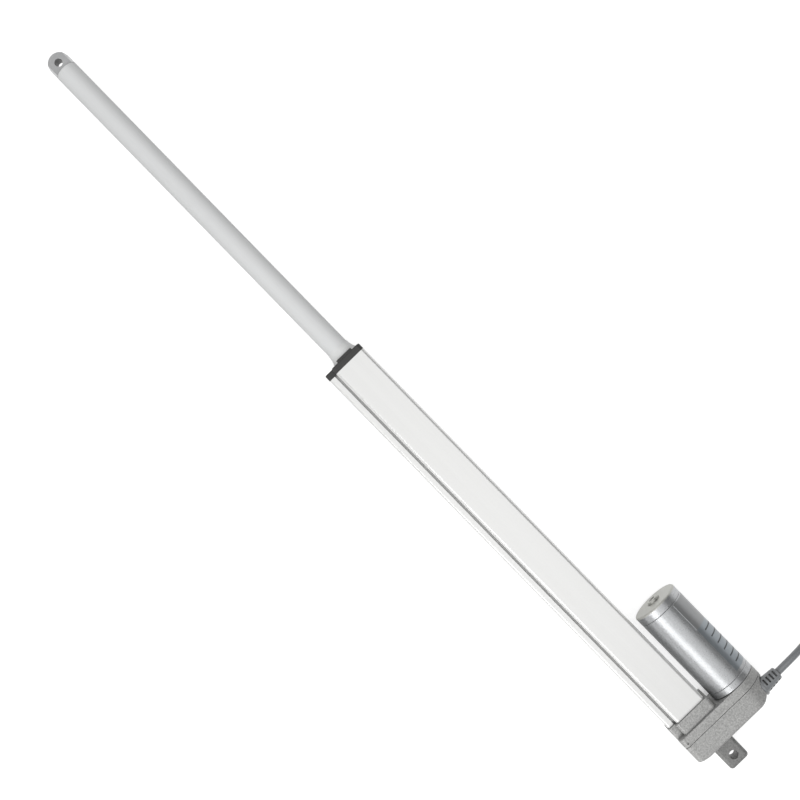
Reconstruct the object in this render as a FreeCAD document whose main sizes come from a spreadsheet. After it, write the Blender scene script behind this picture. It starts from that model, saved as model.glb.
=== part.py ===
import FreeCAD, Part
import Sketcher
import math
import os

# Electric linear actuator with a motor beside its rod, drawn with the rod most of the way out.
# The origin is the centre of the rear pin hole. X runs along the stroke towards the rod's tip,
# Z runs along both pin holes, and the motor lies on the side of minus Y. Lengths are in mm.

SIZES = {
    # rear lug and gearbox, along X from the rear pin hole
    "rear_hole": 8.0,
    "lug_length": 16.2,
    "lug_reach": 9.4,
    "lug_width": 20.0,
    "lug_thickness": 16.4,
    "lug_corner": 3.3,
    "lug_round": 3.0,
    "gusset_width": 11.6,
    "gusset_height": 2.8,
    "gusset_thickness": 12.0,
    "rear_depth": 18.1,
    "gasket_thickness": 0.5,
    "plate_depth": 8.0,
    "block_depth": 11.0,
    "socket_depth": 5.5,
    "socket_wall": 2.0,
    "socket_lip": 1.0,
    "socket_fit": 0.15,
    "seal_thickness": 0.4,
    "lobe_margin": 1.1,
    "box_corner": 4.0,
    "back_round": 1.8,
    "plate_round": 0.8,
    "dome_radius": 22.0,
    "slant_start": 14.5,
    "slant_depth": 2.8,
    "box_wall": 2.5,
    "gasket_inset": 0.25,
    "floor_wall": 3.0,
    "plate_wall": 4.5,
    "end_seat": 11.4,
    "pinion_room": 2.0,
    "wire_way_radius": 2.5,
    "wire_way_inset": 3.25,
    "dimple_radius": 0.9,
    "dimple_depth": 0.6,
    "dimple_station": 2.6,
    "dimple_inset": 4.5,
    # extruded tube
    "tube_half_width": 15.9,
    "tube_half_height": 15.0,
    "lobe_reach": 24.2,
    "lobe_half_height": 8.5,
    "tube_corner": 3.0,
    "step_corner": 2.8,
    "lobe_corner": 2.3,
    "bore_radius": 12.5,
    "channel_wall": 2.2,
    "port_radius": 1.6,
    "port_inset": 3.9,
    "cap_depth": 5.9,
    "cap_round": 1.0,
    "collar_height": 2.0,
    "collar_width": 16.4,
    "collar_half_height": 14.0,
    # rod and screw
    "stroke": 350.0,
    "short_of_full": 22.0,
    "nut_gap": 7.8,
    "nut_length": 34.0,
    "nut_fit": 0.15,
    "nut_spigot": 12.0,
    "nut_overlap": 2.0,
    "key_start": 8.0,
    "key_length": 20.0,
    "key_half_height": 5.0,
    "end_gap": 3.2,
    "bush_length": 20.0,
    "rod_radius": 10.0,
    "rod_wall": 2.0,
    "rod_gap": 12.4,
    "running_fit": 0.06,
    "rod_clearance": 0.5,
    "wiper_flare": 13.5,
    "wiper_lip": 0.35,
    "wiper_length": 10.4,
    "wiper_seat": 3.0,
    "front_hole": 7.0,
    "tip_hole": 7.6,
    "tip_reach": 8.7,
    "tip_round": 7.0,
    "tip_half_thickness": 5.5,
    "tip_spigot": 15.0,
    "screw_radius": 6.0,
    "screw_room": 1.0,
    "thread_fit": 0.08,
    "journal_radius": 4.0,
    "journal_fit": 0.05,
    "end_play": 0.3,
    "groove_depth": 0.6,
    "screw_tail": 3.0,
    "guide_length": 4.0,
    # gears
    "gear_module": 0.8,
    "tooth_shift": 0.3,
    "tooth_gap": 0.04,
    "screw_gear_width": 8.0,
    "wheel_width": 5.0,
    "small_width": 9.8,
    "pinion_width": 7.0,
    "gear_clearance": 0.84,
    "axle_radius": 2.5,
    "axle_depth": 2.0,
    "key_width": 3.0,
    "key_inset": 0.5,
    "face_gap": 0.1,
    "clip_width": 0.6,
    "clip_reach": 1.6,
    "sleeve_wall": 0.75,
    # bearings
    "rear_bearing_radius": 8.0,
    "rear_bearing_width": 5.0,
    "front_bearing_radius": 11.0,
    "front_bearing_width": 7.0,
    "bearing_skin": 1.8,
    "bearing_gap": 0.2,
    "shield_inset": 0.4,
    # motor
    "motor_radius": 21.5,
    "motor_base": 6.2,
    "motor_can_length": 81.0,
    "motor_end": 8.5,
    "motor_end_round": 3.5,
    "motor_wall": 2.2,
    "boss_radius": 5.6,
    "boss_height": 2.4,
    "pilot_radius": 6.9,
    "shaft_radius": 2.5,
    "shaft_sunk": 0.7,
    "shaft_clearance": 0.5,
    "shaft_chamfer": 0.3,
    "motor_bush_wall": 2.0,
    "motor_bush_width": 4.0,
    "bell_web": 3.0,
    "bell_floor": 4.0,
    "boss_round": 0.8,
    "magnet_thickness": 3.6,
    "magnet_gap": 7.0,
    "magnet_overhang": 4.0,
    "armature_radius": 14.8,
    "armature_start": 20.0,
    "armature_tail": 17.0,
    "winding_drop": 2.0,
    "winding_overhang": 5.0,
    "commutator_radius": 5.6,
    "commutator_start": 1.0,
    "commutator_length": 11.0,
    "holder_gap": 1.5,
    "holder_length": 8.0,
    "brush_width": 4.0,
    "brush_length": 5.0,
    "brush_depth": 8.0,
    # screws
    "hole_clearance": 0.2,
    "head_clearance": 0.3,
    "head_drop": 0.3,
    "case_screw_inset": 5.8,
    "case_screw_drop": 6.0,
    "waist_screw_step": 6.4,
    "waist_screw_drop": 3.9,
    "end_screw_rim": 3.76,
    "end_screw_angle": 30.6,
    "motor_screw_rim": 9.03,
    "case_bite": 3.0,
    "motor_bite": 4.5,
    "tube_bite": 11.0,
    "cap_bite": 8.5,
    "thread_floor": 1.5,
    "case_screw_radius": 2.0,
    "case_head_radius": 3.5,
    "case_head_depth": 3.2,
    "small_screw_radius": 1.5,
    "small_head_radius": 2.8,
    "small_head_depth": 2.2,
    # switches in the lobe of the tube
    "board_thickness": 1.0,
    "board_gap": 0.1,
    "board_start": 4.0,
    "board_end_gap": 2.0,
    "board_half_width": 5.9,
    "switch_length": 13.0,
    "switch_height": 3.7,
    "switch_half_width": 3.0,
    "plunger_radius": 0.8,
    "plunger_proud": 0.5,
    "plunger_depth": 1.2,
    "plunger_room": 2.6,
    "plunger_clearance": 0.1,
    "switch_offset": 2.0,
    "key_clearance": 0.3,
    # cable
    "relief_height": 9.0,
    "relief_station": 8.3,
    "relief_flange_radius": 8.0,
    "relief_flange": 3.0,
    "relief_root": 7.0,
    "relief_tip": 5.7,
    "relief_length": 16.5,
    "relief_seat": 8.4,
    "slot_width": 1.7,
    "slot_pitch": 3.6,
    "slot_start": 2.2,
    "slot_wall": 1.1,
    "spine_width": 1.7,
    "cable_radius": 3.25,
    "cable_room": 0.5,
    "flange_room": 0.4,
    "coil_x": -17.0,
    "coil_y": -184.0,
    "coil_radius": 35.6,
    "coil_slack": 0.1,
    "plug_radius": 5.6,
    "plug_length": 26.0,
    "plug_boot": 14.0,
    "plug_chamfer": 0.6,
    "boot_wall": 0.7,
    "barrel_radius": 2.75,
    "barrel_length": 9.5,
    "barrel_bore": 1.05,
}
COUNTS = {"pinion_teeth": 13, "wheel_teeth": 39, "small_teeth": 15, "screw_teeth": 39}

doc = FreeCAD.newDocument("linear_actuator")
dim = doc.addObject("Spreadsheet::Sheet", "dim")
for row, (alias, size) in enumerate({**SIZES, **COUNTS}.items(), start=1):
    dim.set(f"A{row}", alias)
    dim.set(f"B{row}", str(size))
    dim.setAlias(f"B{row}", alias)
doc.recompute()

# How far a cutting tool runs past what it cuts
PAST = 1.0

TURNS = {
    "x": FreeCAD.Rotation(FreeCAD.Vector(0, 1, 0), 90),
    "y": FreeCAD.Rotation(FreeCAD.Vector(1, 0, 0), -90),
    "z": FreeCAD.Rotation(),
}

# Stations along X, each worked out from the one behind it
BACK = "dim.lug_length"
PARTING = f"({BACK} + dim.rear_depth)"
PLATE = f"({PARTING} + dim.gasket_thickness)"
PLATE_FRONT = f"({PLATE} + dim.plate_depth)"
BLOCK_FRONT = f"({PLATE_FRONT} + dim.block_depth)"
SOCKET_FLOOR = f"({BLOCK_FRONT} - dim.socket_depth)"
TUBE_START = f"({SOCKET_FLOOR} + dim.seal_thickness)"
TUBE_LENGTH = "(dim.nut_gap + dim.nut_length + dim.stroke + dim.end_gap + dim.bush_length)"
TUBE_FRONT = f"({TUBE_START} + {TUBE_LENGTH})"
BUSH_START = f"({TUBE_FRONT} - dim.bush_length)"
CAP_FRONT = f"({TUBE_FRONT} + dim.cap_depth)"
EXTENSION = "(dim.stroke - dim.short_of_full)"
NUT_START = f"({TUBE_START} + dim.nut_gap + {EXTENSION})"
NUT_FRONT = f"({NUT_START} + dim.nut_length)"
ROD_FRONT = f"({CAP_FRONT} + dim.rod_gap + {EXTENSION})"
TIP_HOLE = f"({ROD_FRONT} + dim.tip_hole)"
TIP_END = f"({TIP_HOLE} + dim.tip_reach)"
NUT_LIMIT = f"({TUBE_START} + dim.nut_gap + dim.stroke + dim.nut_length + dim.nut_spigot)"
SCREW_END = f"({NUT_LIMIT} + dim.screw_tail)"

# Stations inside the gearbox
CAVITY_BACK = f"({BACK} + dim.floor_wall)"
BEARING_FLOOR = f"({CAVITY_BACK} - dim.bearing_skin)"
CAVITY_FRONT = f"({PLATE_FRONT} - dim.plate_wall)"
BEARING_FRONT = f"({BEARING_FLOOR} + dim.rear_bearing_width)"
CLIP_BACK = f"({BEARING_FRONT} + dim.face_gap)"
SCREW_GEAR_BACK = f"({CLIP_BACK} + dim.clip_width)"
SCREW_GEAR_FRONT = f"({SCREW_GEAR_BACK} + dim.screw_gear_width)"
FRONT_BEARING = f"({CAVITY_FRONT} + dim.bearing_gap)"
FRONT_BEARING_END = f"({FRONT_BEARING} + dim.front_bearing_width)"
SMALL_BACK = f"({BEARING_FRONT} + dim.bearing_gap)"
WHEEL_BACK = f"({SMALL_BACK} + dim.small_width)"
PINION_BACK = f"({WHEEL_BACK} - 0.5 * (dim.pinion_width - dim.wheel_width))"

# Centres and radii across the gearbox
IDLER_Y = "(-0.5 * dim.gear_module * (dim.small_teeth + dim.screw_teeth))"
MOTOR_Y = f"({IDLER_Y} - 0.5 * dim.gear_module * (dim.pinion_teeth + dim.wheel_teeth))"
WHEEL_TIP = "(dim.gear_module * (0.5 * dim.screw_teeth + 1 - dim.tooth_shift))"
PINION_TIP = "(dim.gear_module * (0.5 * dim.pinion_teeth + 1 + dim.tooth_shift))"
PINION_ROOM = f"({PINION_TIP} + dim.pinion_room)"
CAVITY_RADIUS = f"({WHEEL_TIP} + dim.gear_clearance)"
BOX_HALF = f"({CAVITY_RADIUS} + dim.box_wall)"
LOBE_END = "(dim.lobe_reach + dim.lobe_margin)"
CHANNEL_END = "(dim.lobe_reach - dim.channel_wall)"
CHANNEL_HALF = "(dim.lobe_half_height - dim.channel_wall)"
PORT_Y = "(dim.tube_half_width - dim.port_inset)"
PORT_Z = "(dim.tube_half_height - dim.port_inset)"
BOARD_INNER = f"({CHANNEL_END} - dim.board_gap - dim.board_thickness)"
SWITCH_FACE = f"({BOARD_INNER} - dim.switch_height)"
CASE_HOLE = "(dim.case_screw_radius + dim.hole_clearance)"
SMALL_HOLE = "(dim.small_screw_radius + dim.hole_clearance)"
SMALL_SEAT = "(dim.small_head_radius + dim.head_clearance)"
JOURNAL = "(dim.journal_radius - dim.journal_fit)"
MOTOR_INNER = "(dim.motor_radius - dim.motor_wall)"
BUSH_RADIUS = "(dim.shaft_radius + dim.motor_bush_wall)"

# Stations along the motor
CAN_START = f"({PLATE_FRONT} + dim.motor_base)"
CAN_END = f"({CAN_START} + dim.motor_can_length)"
MOTOR_FACE = f"({CAN_END} + dim.motor_end)"
BOSS_FACE = f"({MOTOR_FACE} + dim.boss_height)"
REAR_BUSH_END = f"({MOTOR_FACE} - dim.bell_web)"
REAR_BUSH = f"({REAR_BUSH_END} - dim.motor_bush_width)"
FRONT_BUSH = f"({CAN_START} - dim.motor_bush_width)"
ARMATURE_START = f"({CAN_START} + dim.armature_start)"
ARMATURE_END = f"({CAN_END} - dim.armature_tail)"

# Places of the cable's relief
RELIEF_X = f"({BACK} + dim.relief_station)"
RELIEF_SEAT_Y = f"({MOTOR_Y} - dim.motor_radius + dim.relief_seat)"
RELIEF_TIP_Y = f"({RELIEF_SEAT_Y} - dim.relief_flange - dim.relief_length)"
FLOOR_Z = "(-dim.motor_radius)"


def num(text):
    """The value of an expression over the sheet."""
    return float(dim.evalExpression(text))


def vector(x, y, z=0.0):
    return FreeCAD.Vector(x, y, z)


def bind(item, **texts):
    """Binds properties to expressions."""
    for name, text in texts.items():
        item.setExpression(name, text)
    return item


def place(item, x="0", y="0", z="0", axis="z"):
    """Turns a primitive so that its own Z lies along axis, and binds its place."""
    item.Placement = FreeCAD.Placement(vector(num(x), num(y), num(z)), TURNS[axis])
    for letter, text in (("x", x), ("y", y), ("z", z)):
        item.setExpression(f".Placement.Base.{letter}", text)
    return item


def cylinder(name, radius, length, x="0", y="0", z="0", axis="x"):
    bar = bind(doc.addObject("Part::Cylinder", name), Radius=radius, Height=length)
    return place(bar, x, y, z, axis)


def box(name, x, y, z, length, width, height):
    """A box from its lowest corner."""
    block = bind(doc.addObject("Part::Box", name), Length=length, Width=width, Height=height)
    return place(block, x, y, z)


def fuse(name, *items):
    joined = doc.addObject("Part::MultiFuse", name)
    joined.Shapes = list(items)
    joined.Refine = True
    return joined


def group(name, *items):
    """Several separate solids in one sub-part."""
    together = doc.addObject("Part::Compound", name)
    together.Links = list(items)
    return together


def cut(name, base, *tools):
    result = doc.addObject("Part::Cut", name)
    result.Base = base
    result.Tool = tools[0] if len(tools) == 1 else group(name + "_tools", *tools)
    result.Refine = True
    return result


def common(name, first, second):
    result = doc.addObject("Part::Common", name)
    result.Base = first
    result.Tool = second
    return result


def new_body(name):
    return doc.addObject("PartDesign::Body", name)


def new_sketch(body, role="YZ_Plane", offset="0"):
    """A sketch parallel to one of the body's own planes."""
    sketch = body.newObject("Sketcher::SketchObject", body.Name + "_sketch")
    plane = next(item for item in body.Origin.OriginFeatures if item.Role == role)
    sketch.AttachmentSupport = [(plane, "")]
    sketch.MapMode = "FlatFace"
    sketch.setExpression(".AttachmentOffset.Base.z", offset)
    return sketch


def pin(sketch, curve, point, u, v):
    """Holds a point of a curve at the place that two expressions give."""
    for kind, text in (("DistanceX", u), ("DistanceY", v)):
        row = sketch.addConstraint(Sketcher.Constraint(kind, -1, 1, curve, point, num(text)))
        sketch.setExpression(f"Constraints[{row}]", text)


def circle(sketch, u, v, radius):
    centre = vector(num(u), num(v))
    curve = sketch.addGeometry(Part.Circle(centre, vector(0, 0, 1), num(radius)))
    pin(sketch, curve, 3, u, v)
    row = sketch.addConstraint(Sketcher.Constraint("Radius", curve, num(radius)))
    sketch.setExpression(f"Constraints[{row}]", radius)


def arc_side(sketch, start, end, radius):
    """An arc from start to end, turning left for a plus radius and right for a minus one."""
    chord = end - start
    left = vector(-chord.y, chord.x).normalize()
    rise = math.sqrt(max(radius**2 - (chord.Length / 2) ** 2, 0))
    centre = start + chord * 0.5 + left * math.copysign(rise, radius)
    ends = (start, end) if radius > 0 else (end, start)
    angles = [math.atan2(p.y - centre.y, p.x - centre.x) for p in ends]
    ring = Part.Circle(centre, vector(0, 0, 1), abs(radius))
    return sketch.addGeometry(Part.ArcOfCircle(ring, angles[0], angles[1]))


def outline(sketch, points):
    """A closed outline. A point is (u, v), or (u, v, radius) where an arc leads to it."""
    spots = [vector(num(point[0]), num(point[1])) for point in points]
    sides = []
    for row, point in enumerate(points):
        start, end = spots[row - 1], spots[row]
        if len(point) == 3:
            radius = num(point[2])
            curve = arc_side(sketch, start, end, radius)
            sides.append((curve, 1, 2) if radius > 0 else (curve, 2, 1))
            limit = sketch.addConstraint(Sketcher.Constraint("Radius", curve, abs(radius)))
            sketch.setExpression(f"Constraints[{limit}]", f"abs({point[2]})")
        else:
            sides.append((sketch.addGeometry(Part.LineSegment(start, end)), 1, 2))
    for row, point in enumerate(points):
        curve, _, last = sides[row]
        following, first, _ = sides[(row + 1) % len(points)]
        sketch.addConstraint(Sketcher.Constraint("Coincident", curve, last, following, first))
        pin(sketch, curve, last, point[0], point[1])


def pad(body, sketch, length):
    feature = body.newObject("PartDesign::Pad", body.Name + "_pad")
    feature.Profile = sketch
    return bind(feature, Length=length)


def pocket(body, sketch, length):
    """A cut along the sketch's own normal."""
    feature = body.newObject("PartDesign::Pocket", body.Name + "_pocket")
    feature.Profile = sketch
    feature.Reversed = True
    return bind(feature, Length=length)


def round_edges(body, radius, wanted):
    """Rounds the edges of the body's last feature that the test accepts."""
    doc.recompute()
    last = body.Tip
    names = [f"Edge{n}" for n, edge in enumerate(last.Shape.Edges, 1) if wanted(edge)]
    feature = body.newObject("PartDesign::Fillet", body.Name + "_round")
    feature.Base = (last, names)
    return bind(feature, Radius=radius)


def spread(edge, letter):
    """How far an edge reaches along one axis."""
    return getattr(edge.BoundBox, letter.upper() + "Length")


def runs_along(letter):
    others = [other for other in "xyz" if other != letter]
    return lambda edge: all(spread(edge, other) < 0.001 for other in others)


def at_station(x):
    """Accepts the edges that lie in the plane at one station."""
    return lambda edge: spread(edge, "x") < 0.001 and abs(edge.BoundBox.XMin - num(x)) < 0.001


def beside(y_text, z_text):
    """Accepts edges along X at plus and minus z."""
    along = runs_along("x")

    def test(edge):
        centre = edge.BoundBox.Center
        level = abs(abs(centre.z) - num(z_text)) < 0.01
        return along(edge) and level and abs(centre.y - num(y_text)) < 0.01

    return test


def turned(name, points, y="0"):
    """A turned piece on an axis along X, from the outline of its half section."""
    body = new_body(name)
    sketch = new_sketch(body, "XY_Plane")
    outline(sketch, points)
    feature = body.newObject("PartDesign::Revolution", name + "_turn")
    feature.Profile = sketch
    feature.ReferenceAxis = (sketch, ["H_Axis"])
    feature.Angle = 360
    if y != "0":
        body.setExpression(".Placement.Base.y", y)
    return body


def ring(name, inner, outer, start, end, y="0"):
    corners = [(start, inner), (end, inner), (end, outer), (start, outer)]
    return turned(name, corners, y)


def prism(name, points, low, height):
    """An outline in the XY plane, raised from z = low."""
    body = new_body(name)
    sketch = new_sketch(body, "XY_Plane", low)
    outline(sketch, points)
    pad(body, sketch, height)
    return body


def case_outline(sketch, inset="0"):
    """The gearbox seen along X: round about the motor's axis, and straight to the lobe's end."""
    top = f"(dim.motor_radius - {inset})"
    low = f"({BOX_HALF} - {inset})"
    end = f"({LOBE_END} - {inset})"
    far = f"({MOTOR_Y} - {top})"
    outline(
        sketch,
        [
            (far, "0", top),
            (MOTOR_Y, f"-{top}", top),
            (end, f"-{low}"),
            (end, low),
            (MOTOR_Y, top),
        ],
    )
    return sketch


def tube_outline(sketch, grow="0", reach="0"):
    """The extruded section: a square body with a lower lobe on one side."""
    width = f"(dim.tube_half_width + {grow})"
    height = f"(dim.tube_half_height + {grow})"
    lobe = f"(dim.lobe_half_height + {grow})"
    end = f"(dim.lobe_reach + {reach})"
    outline(
        sketch,
        [
            (f"-{width}", f"-{height}"),
            (width, f"-{height}"),
            (width, f"-{lobe}"),
            (end, f"-{lobe}"),
            (end, lobe),
            (width, lobe),
            (width, height),
            (f"-{width}", height),
        ],
    )
    return sketch


def tube_blank(name, start, length, grow="0", reach="0"):
    """A length of the extruded section with its long edges rounded."""
    body = new_body(name)
    pad(body, tube_outline(new_sketch(body, offset=start), grow, reach), length)
    width = f"(dim.tube_half_width + {grow})"
    height = f"(dim.tube_half_height + {grow})"
    end = f"(dim.lobe_reach + {reach})"
    lobe = f"(dim.lobe_half_height + {grow})"
    round_edges(body, "dim.tube_corner", beside(f"-{width}", height))
    round_edges(body, "dim.step_corner", beside(width, height))
    round_edges(body, "dim.lobe_corner", beside(end, lobe))
    return body


def gear_cavity(name, start, end):
    """The room for both big gears, from the screw's axis to the idler's."""
    body = new_body(name)
    sketch = new_sketch(body, offset=start)
    outline(
        sketch,
        [
            (IDLER_Y, CAVITY_RADIUS),
            (f"({IDLER_Y} - {CAVITY_RADIUS})", "0", CAVITY_RADIUS),
            (IDLER_Y, f"-{CAVITY_RADIUS}", CAVITY_RADIUS),
            ("0", f"-{CAVITY_RADIUS}"),
            (CAVITY_RADIUS, "0", CAVITY_RADIUS),
            ("0", CAVITY_RADIUS, CAVITY_RADIUS),
        ],
    )
    pad(body, sketch, f"{end} - {start}")
    return body


def spur_gear(name, teeth, shift, start, width, bore, y, meets_behind=False):
    """A spur gear with involute flanks, one tooth space cut and repeated round the blank.

    A tooth points along plus Y, or a space along minus Y where the gear meets one behind it.
    """
    count = num(teeth)
    module = num("dim.gear_module")
    pitch = module * count / 2
    base = pitch * math.cos(math.radians(20))
    tip = pitch + module * (1 + num(shift))
    root = pitch - module * (1.25 - num(shift))
    angle_20 = math.tan(math.radians(20)) - math.radians(20)
    thick = math.pi * module / 2 + 2 * num(shift) * module * math.tan(math.radians(20))
    half_pitch = (thick - num("dim.tooth_gap")) / 2 / pitch

    def flank(radius):
        """The angle from the middle of the tooth space to its flank."""
        lean = math.acos(min(base / radius, 1))
        return math.pi / count - half_pitch - angle_20 + math.tan(lean) - lean

    def spot(radius, side):
        angle = side * flank(radius)
        return vector(radius * math.cos(angle), radius * math.sin(angle))

    body = new_body(name)
    blank = new_sketch(body, offset=start)
    circle(blank, "0", "0", f"dim.gear_module * ({teeth} / 2 + 1 + {shift})")
    pad(body, blank, width)
    hole = new_sketch(body, offset=start)
    circle(hole, "0", "0", bore)
    pocket(body, hole, width)
    space = new_sketch(body, offset=start)
    middle = (max(base, root) + tip) / 2
    over = tip + module / 4
    floor = [spot(root, -1), vector(root, 0), spot(root, 1)]
    space.addGeometry(Part.Arc(*floor))
    for side in (1, -1):
        space.addGeometry(Part.Arc(spot(root, side), spot(middle, side), spot(tip, side)))
        outer = spot(tip, side) * (over / tip)
        space.addGeometry(Part.LineSegment(spot(tip, side), outer))
    space.addGeometry(Part.LineSegment(*[spot(tip, side) * (over / tip) for side in (1, -1)]))
    tooth = pocket(body, space, width)
    pattern = body.newObject("PartDesign::PolarPattern", name + "_teeth")
    pattern.Originals = [tooth]
    pattern.Axis = (space, ["N_Axis"])
    pattern.Angle = 360
    bind(pattern, Occurrences=teeth)
    body.Tip = pattern
    turn = 180 if meets_behind else 180 / count
    body.Placement = FreeCAD.Placement(vector(0, num(y)), FreeCAD.Rotation(vector(1, 0), turn))
    body.setExpression(".Placement.Base.y", y)
    return body


def screws(name, places, head, head_radius, head_depth, radius, length, along=1):
    """Pan-head screws along X, as a list. head is the station of a head's outer face."""
    pieces = []
    for row, (y, z) in enumerate(places):
        start = head if along > 0 else f"({head} - {head_depth})"
        shank = f"({head} + {head_depth})" if along > 0 else f"({head} - {head_depth} - {length})"
        cap = cylinder(f"{name}_head_{row}", head_radius, head_depth, start, y, z)
        stem = cylinder(f"{name}_stem_{row}", radius, length, shank, y, z)
        pieces.append(fuse(f"{name}_{row}", cap, stem))
    return pieces


def holes(name, places, start, radius, length):
    """Round holes along X for a set of screws."""
    bars = []
    for row, (y, z) in enumerate(places):
        bars.append(cylinder(f"{name}_{row}", radius, length, start, y, z))
    return bars


# Screw places, as pairs of Y and Z
CASE_Y = f"({LOBE_END} - dim.case_screw_inset)"
CASE_Z = f"({BOX_HALF} - dim.case_screw_drop)"
WAIST_Y = f"({MOTOR_Y} + dim.waist_screw_step)"
WAIST_Z = f"({BOX_HALF} - dim.waist_screw_drop)"
END_RADIUS = "(dim.motor_radius - dim.end_screw_rim)"
END_Y = f"({MOTOR_Y} - {END_RADIUS} * cos(dim.end_screw_angle))"
END_Z = f"(-{END_RADIUS} * sin(dim.end_screw_angle))"
BACK_SCREWS = [
    (CASE_Y, CASE_Z),
    (CASE_Y, f"-{CASE_Z}"),
    (WAIST_Y, WAIST_Z),
    (WAIST_Y, f"-{WAIST_Z}"),
]
END_SCREW = [(END_Y, END_Z)]
CASE_SCREWS = BACK_SCREWS + END_SCREW
END_SEAT = f"({BACK} + dim.end_seat)"
MOTOR_SCREW_Z = "(dim.motor_radius - dim.motor_screw_rim)"
MOTOR_SCREWS = [(MOTOR_Y, MOTOR_SCREW_Z), (MOTOR_Y, f"-{MOTOR_SCREW_Z}")]
TUBE_SCREWS = [(f"{a}{PORT_Y}", f"{b}{PORT_Z}") for a in ("", "-") for b in ("", "-")]
PLATE_FLOOR = f"({PLATE_FRONT} - dim.floor_wall)"


def make_rear_housing():
    """The cast rear half of the gearbox with the lug that takes the load."""
    blank = new_body("rear_blank")
    pad(blank, case_outline(new_sketch(blank, offset=BACK)), "dim.rear_depth")
    round_edges(blank, "dim.box_corner", beside(LOBE_END, BOX_HALF))
    round_edges(blank, "dim.back_round", at_station(BACK))
    dome_x = f"({BACK} + dim.dome_radius)"
    dome_low = f"({MOTOR_Y} - dim.motor_radius - {PAST})"
    waste = box(
        "dome_waste", f"{BACK} - {PAST}", dome_low, f"-dim.motor_radius - {PAST}",
        f"dim.dome_radius + {PAST}", f"{MOTOR_Y} - {dome_low}", f"2 * (dim.motor_radius + {PAST})",
    )
    kept = cylinder(
        "dome_kept", "dim.dome_radius", f"2 * (dim.motor_radius + 2 * {PAST})",
        dome_x, MOTOR_Y, f"-dim.motor_radius - 2 * {PAST}", "z",
    )
    dome = cut("dome_cut", waste, kept)
    slant = prism(
        "slant_cut",
        [
            (f"{BACK} - {PAST}", "dim.slant_start"),
            (BACK, "dim.slant_start"),
            (f"{BACK} + dim.slant_depth", LOBE_END),
            (f"{BACK} + dim.slant_depth", f"{LOBE_END} + {PAST}"),
            (f"{BACK} - {PAST}", f"{LOBE_END} + {PAST}"),
        ],
        f"-{BOX_HALF} - {PAST}",
        f"2 * ({BOX_HALF} + {PAST})",
    )
    half = "0.5 * dim.lug_width"
    lug = prism(
        "rear_lug",
        [
            ("-dim.lug_reach", f"-{half}"),
            (CAVITY_BACK, f"-{half}"),
            (CAVITY_BACK, half),
            ("-dim.lug_reach", half),
        ],
        "-0.5 * dim.lug_thickness",
        "dim.lug_thickness",
    )
    end = -num("dim.lug_reach")
    upright = runs_along("z")
    round_edges(lug, "dim.lug_corner", lambda e: upright(e) and abs(e.BoundBox.XMin - end) < 0.1)
    inner = num(CAVITY_BACK) - 0.01
    round_edges(lug, "dim.lug_round", lambda e: spread(e, "z") < 0.001 and e.BoundBox.XMin < inner
                and not (runs_along("y")(e) and e.BoundBox.XMin > inner - 0.1))
    gusset = prism(
        "gusset",
        [
            (f"{BACK} + {PAST}", f"-{half} - dim.gusset_width"),
            (BACK, f"-{half} - dim.gusset_width"),
            (f"{BACK} - dim.gusset_height", f"-{half}"),
            (f"{BACK} - dim.gusset_height", f"-{half} + {PAST}"),
            (f"{BACK} + {PAST}", f"-{half} + {PAST}"),
        ],
        "-0.5 * dim.gusset_thickness",
        "dim.gusset_thickness",
    )
    shell = cut("rear_trimmed", blank, dome, slant)
    solid = fuse("rear_solid", shell, lug, gusset)
    hollow = cut(
        "rear_hollow",
        solid,
        gear_cavity("rear_cavity", CAVITY_BACK, f"({PARTING} + {PAST})"),
        cylinder("pinion_room", PINION_ROOM, f"{PARTING} - {PINION_BACK} + dim.pinion_room + {PAST}",
                 f"{PINION_BACK} - dim.pinion_room", MOTOR_Y),
    )
    boss_length = f"{BEARING_FRONT} - {BACK} - dim.end_play - {PAST}"
    bosses = fuse(
        "rear_with_bosses",
        hollow,
        cylinder("bearing_boss", "dim.rear_bearing_radius + dim.box_wall", boss_length,
                 f"{BACK} + {PAST}"),
        cylinder("axle_boss", "dim.axle_radius + dim.box_wall", boss_length,
                 f"{BACK} + {PAST}", IDLER_Y),
    )
    case_seat = "dim.case_head_radius + dim.head_clearance"
    return cut(
        "rear_housing",
        bosses,
        cylinder("rear_pin_hole", "0.5 * dim.rear_hole", f"dim.lug_thickness + 2 * {PAST}",
                 "0", "0", f"-0.5 * dim.lug_thickness - {PAST}", "z"),
        cylinder("rear_bearing_seat", "dim.rear_bearing_radius",
                 f"dim.rear_bearing_width + {PAST}", BEARING_FLOOR),
        cylinder("rear_axle_hole", "dim.axle_radius", f"dim.rear_bearing_width + {PAST}",
                 BEARING_FLOOR, IDLER_Y),
        cylinder("relief_counterbore", "dim.relief_flange_radius + dim.flange_room",
                 f"dim.relief_seat + {PAST}", RELIEF_X,
                 f"{MOTOR_Y} - dim.motor_radius - {PAST}", "dim.relief_height", "y"),
        cylinder("wire_way", "dim.cable_radius + dim.cable_room", f"{IDLER_Y} - {RELIEF_SEAT_Y}",
                 RELIEF_X, f"{RELIEF_SEAT_Y} - {PAST}", "dim.relief_height", "y"),
        *holes("rear_screw_hole", CASE_SCREWS, BACK, CASE_HOLE, f"dim.rear_depth + {PAST}"),
        *holes("rear_head_seat", BACK_SCREWS, f"{BACK} - {PAST}", case_seat,
               f"dim.case_head_depth + dim.head_drop + {PAST}"),
        *holes("end_head_seat", END_SCREW, f"{BACK} - {PAST}", case_seat,
               f"{END_SEAT} - {BACK} + {PAST}"),
    )


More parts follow.
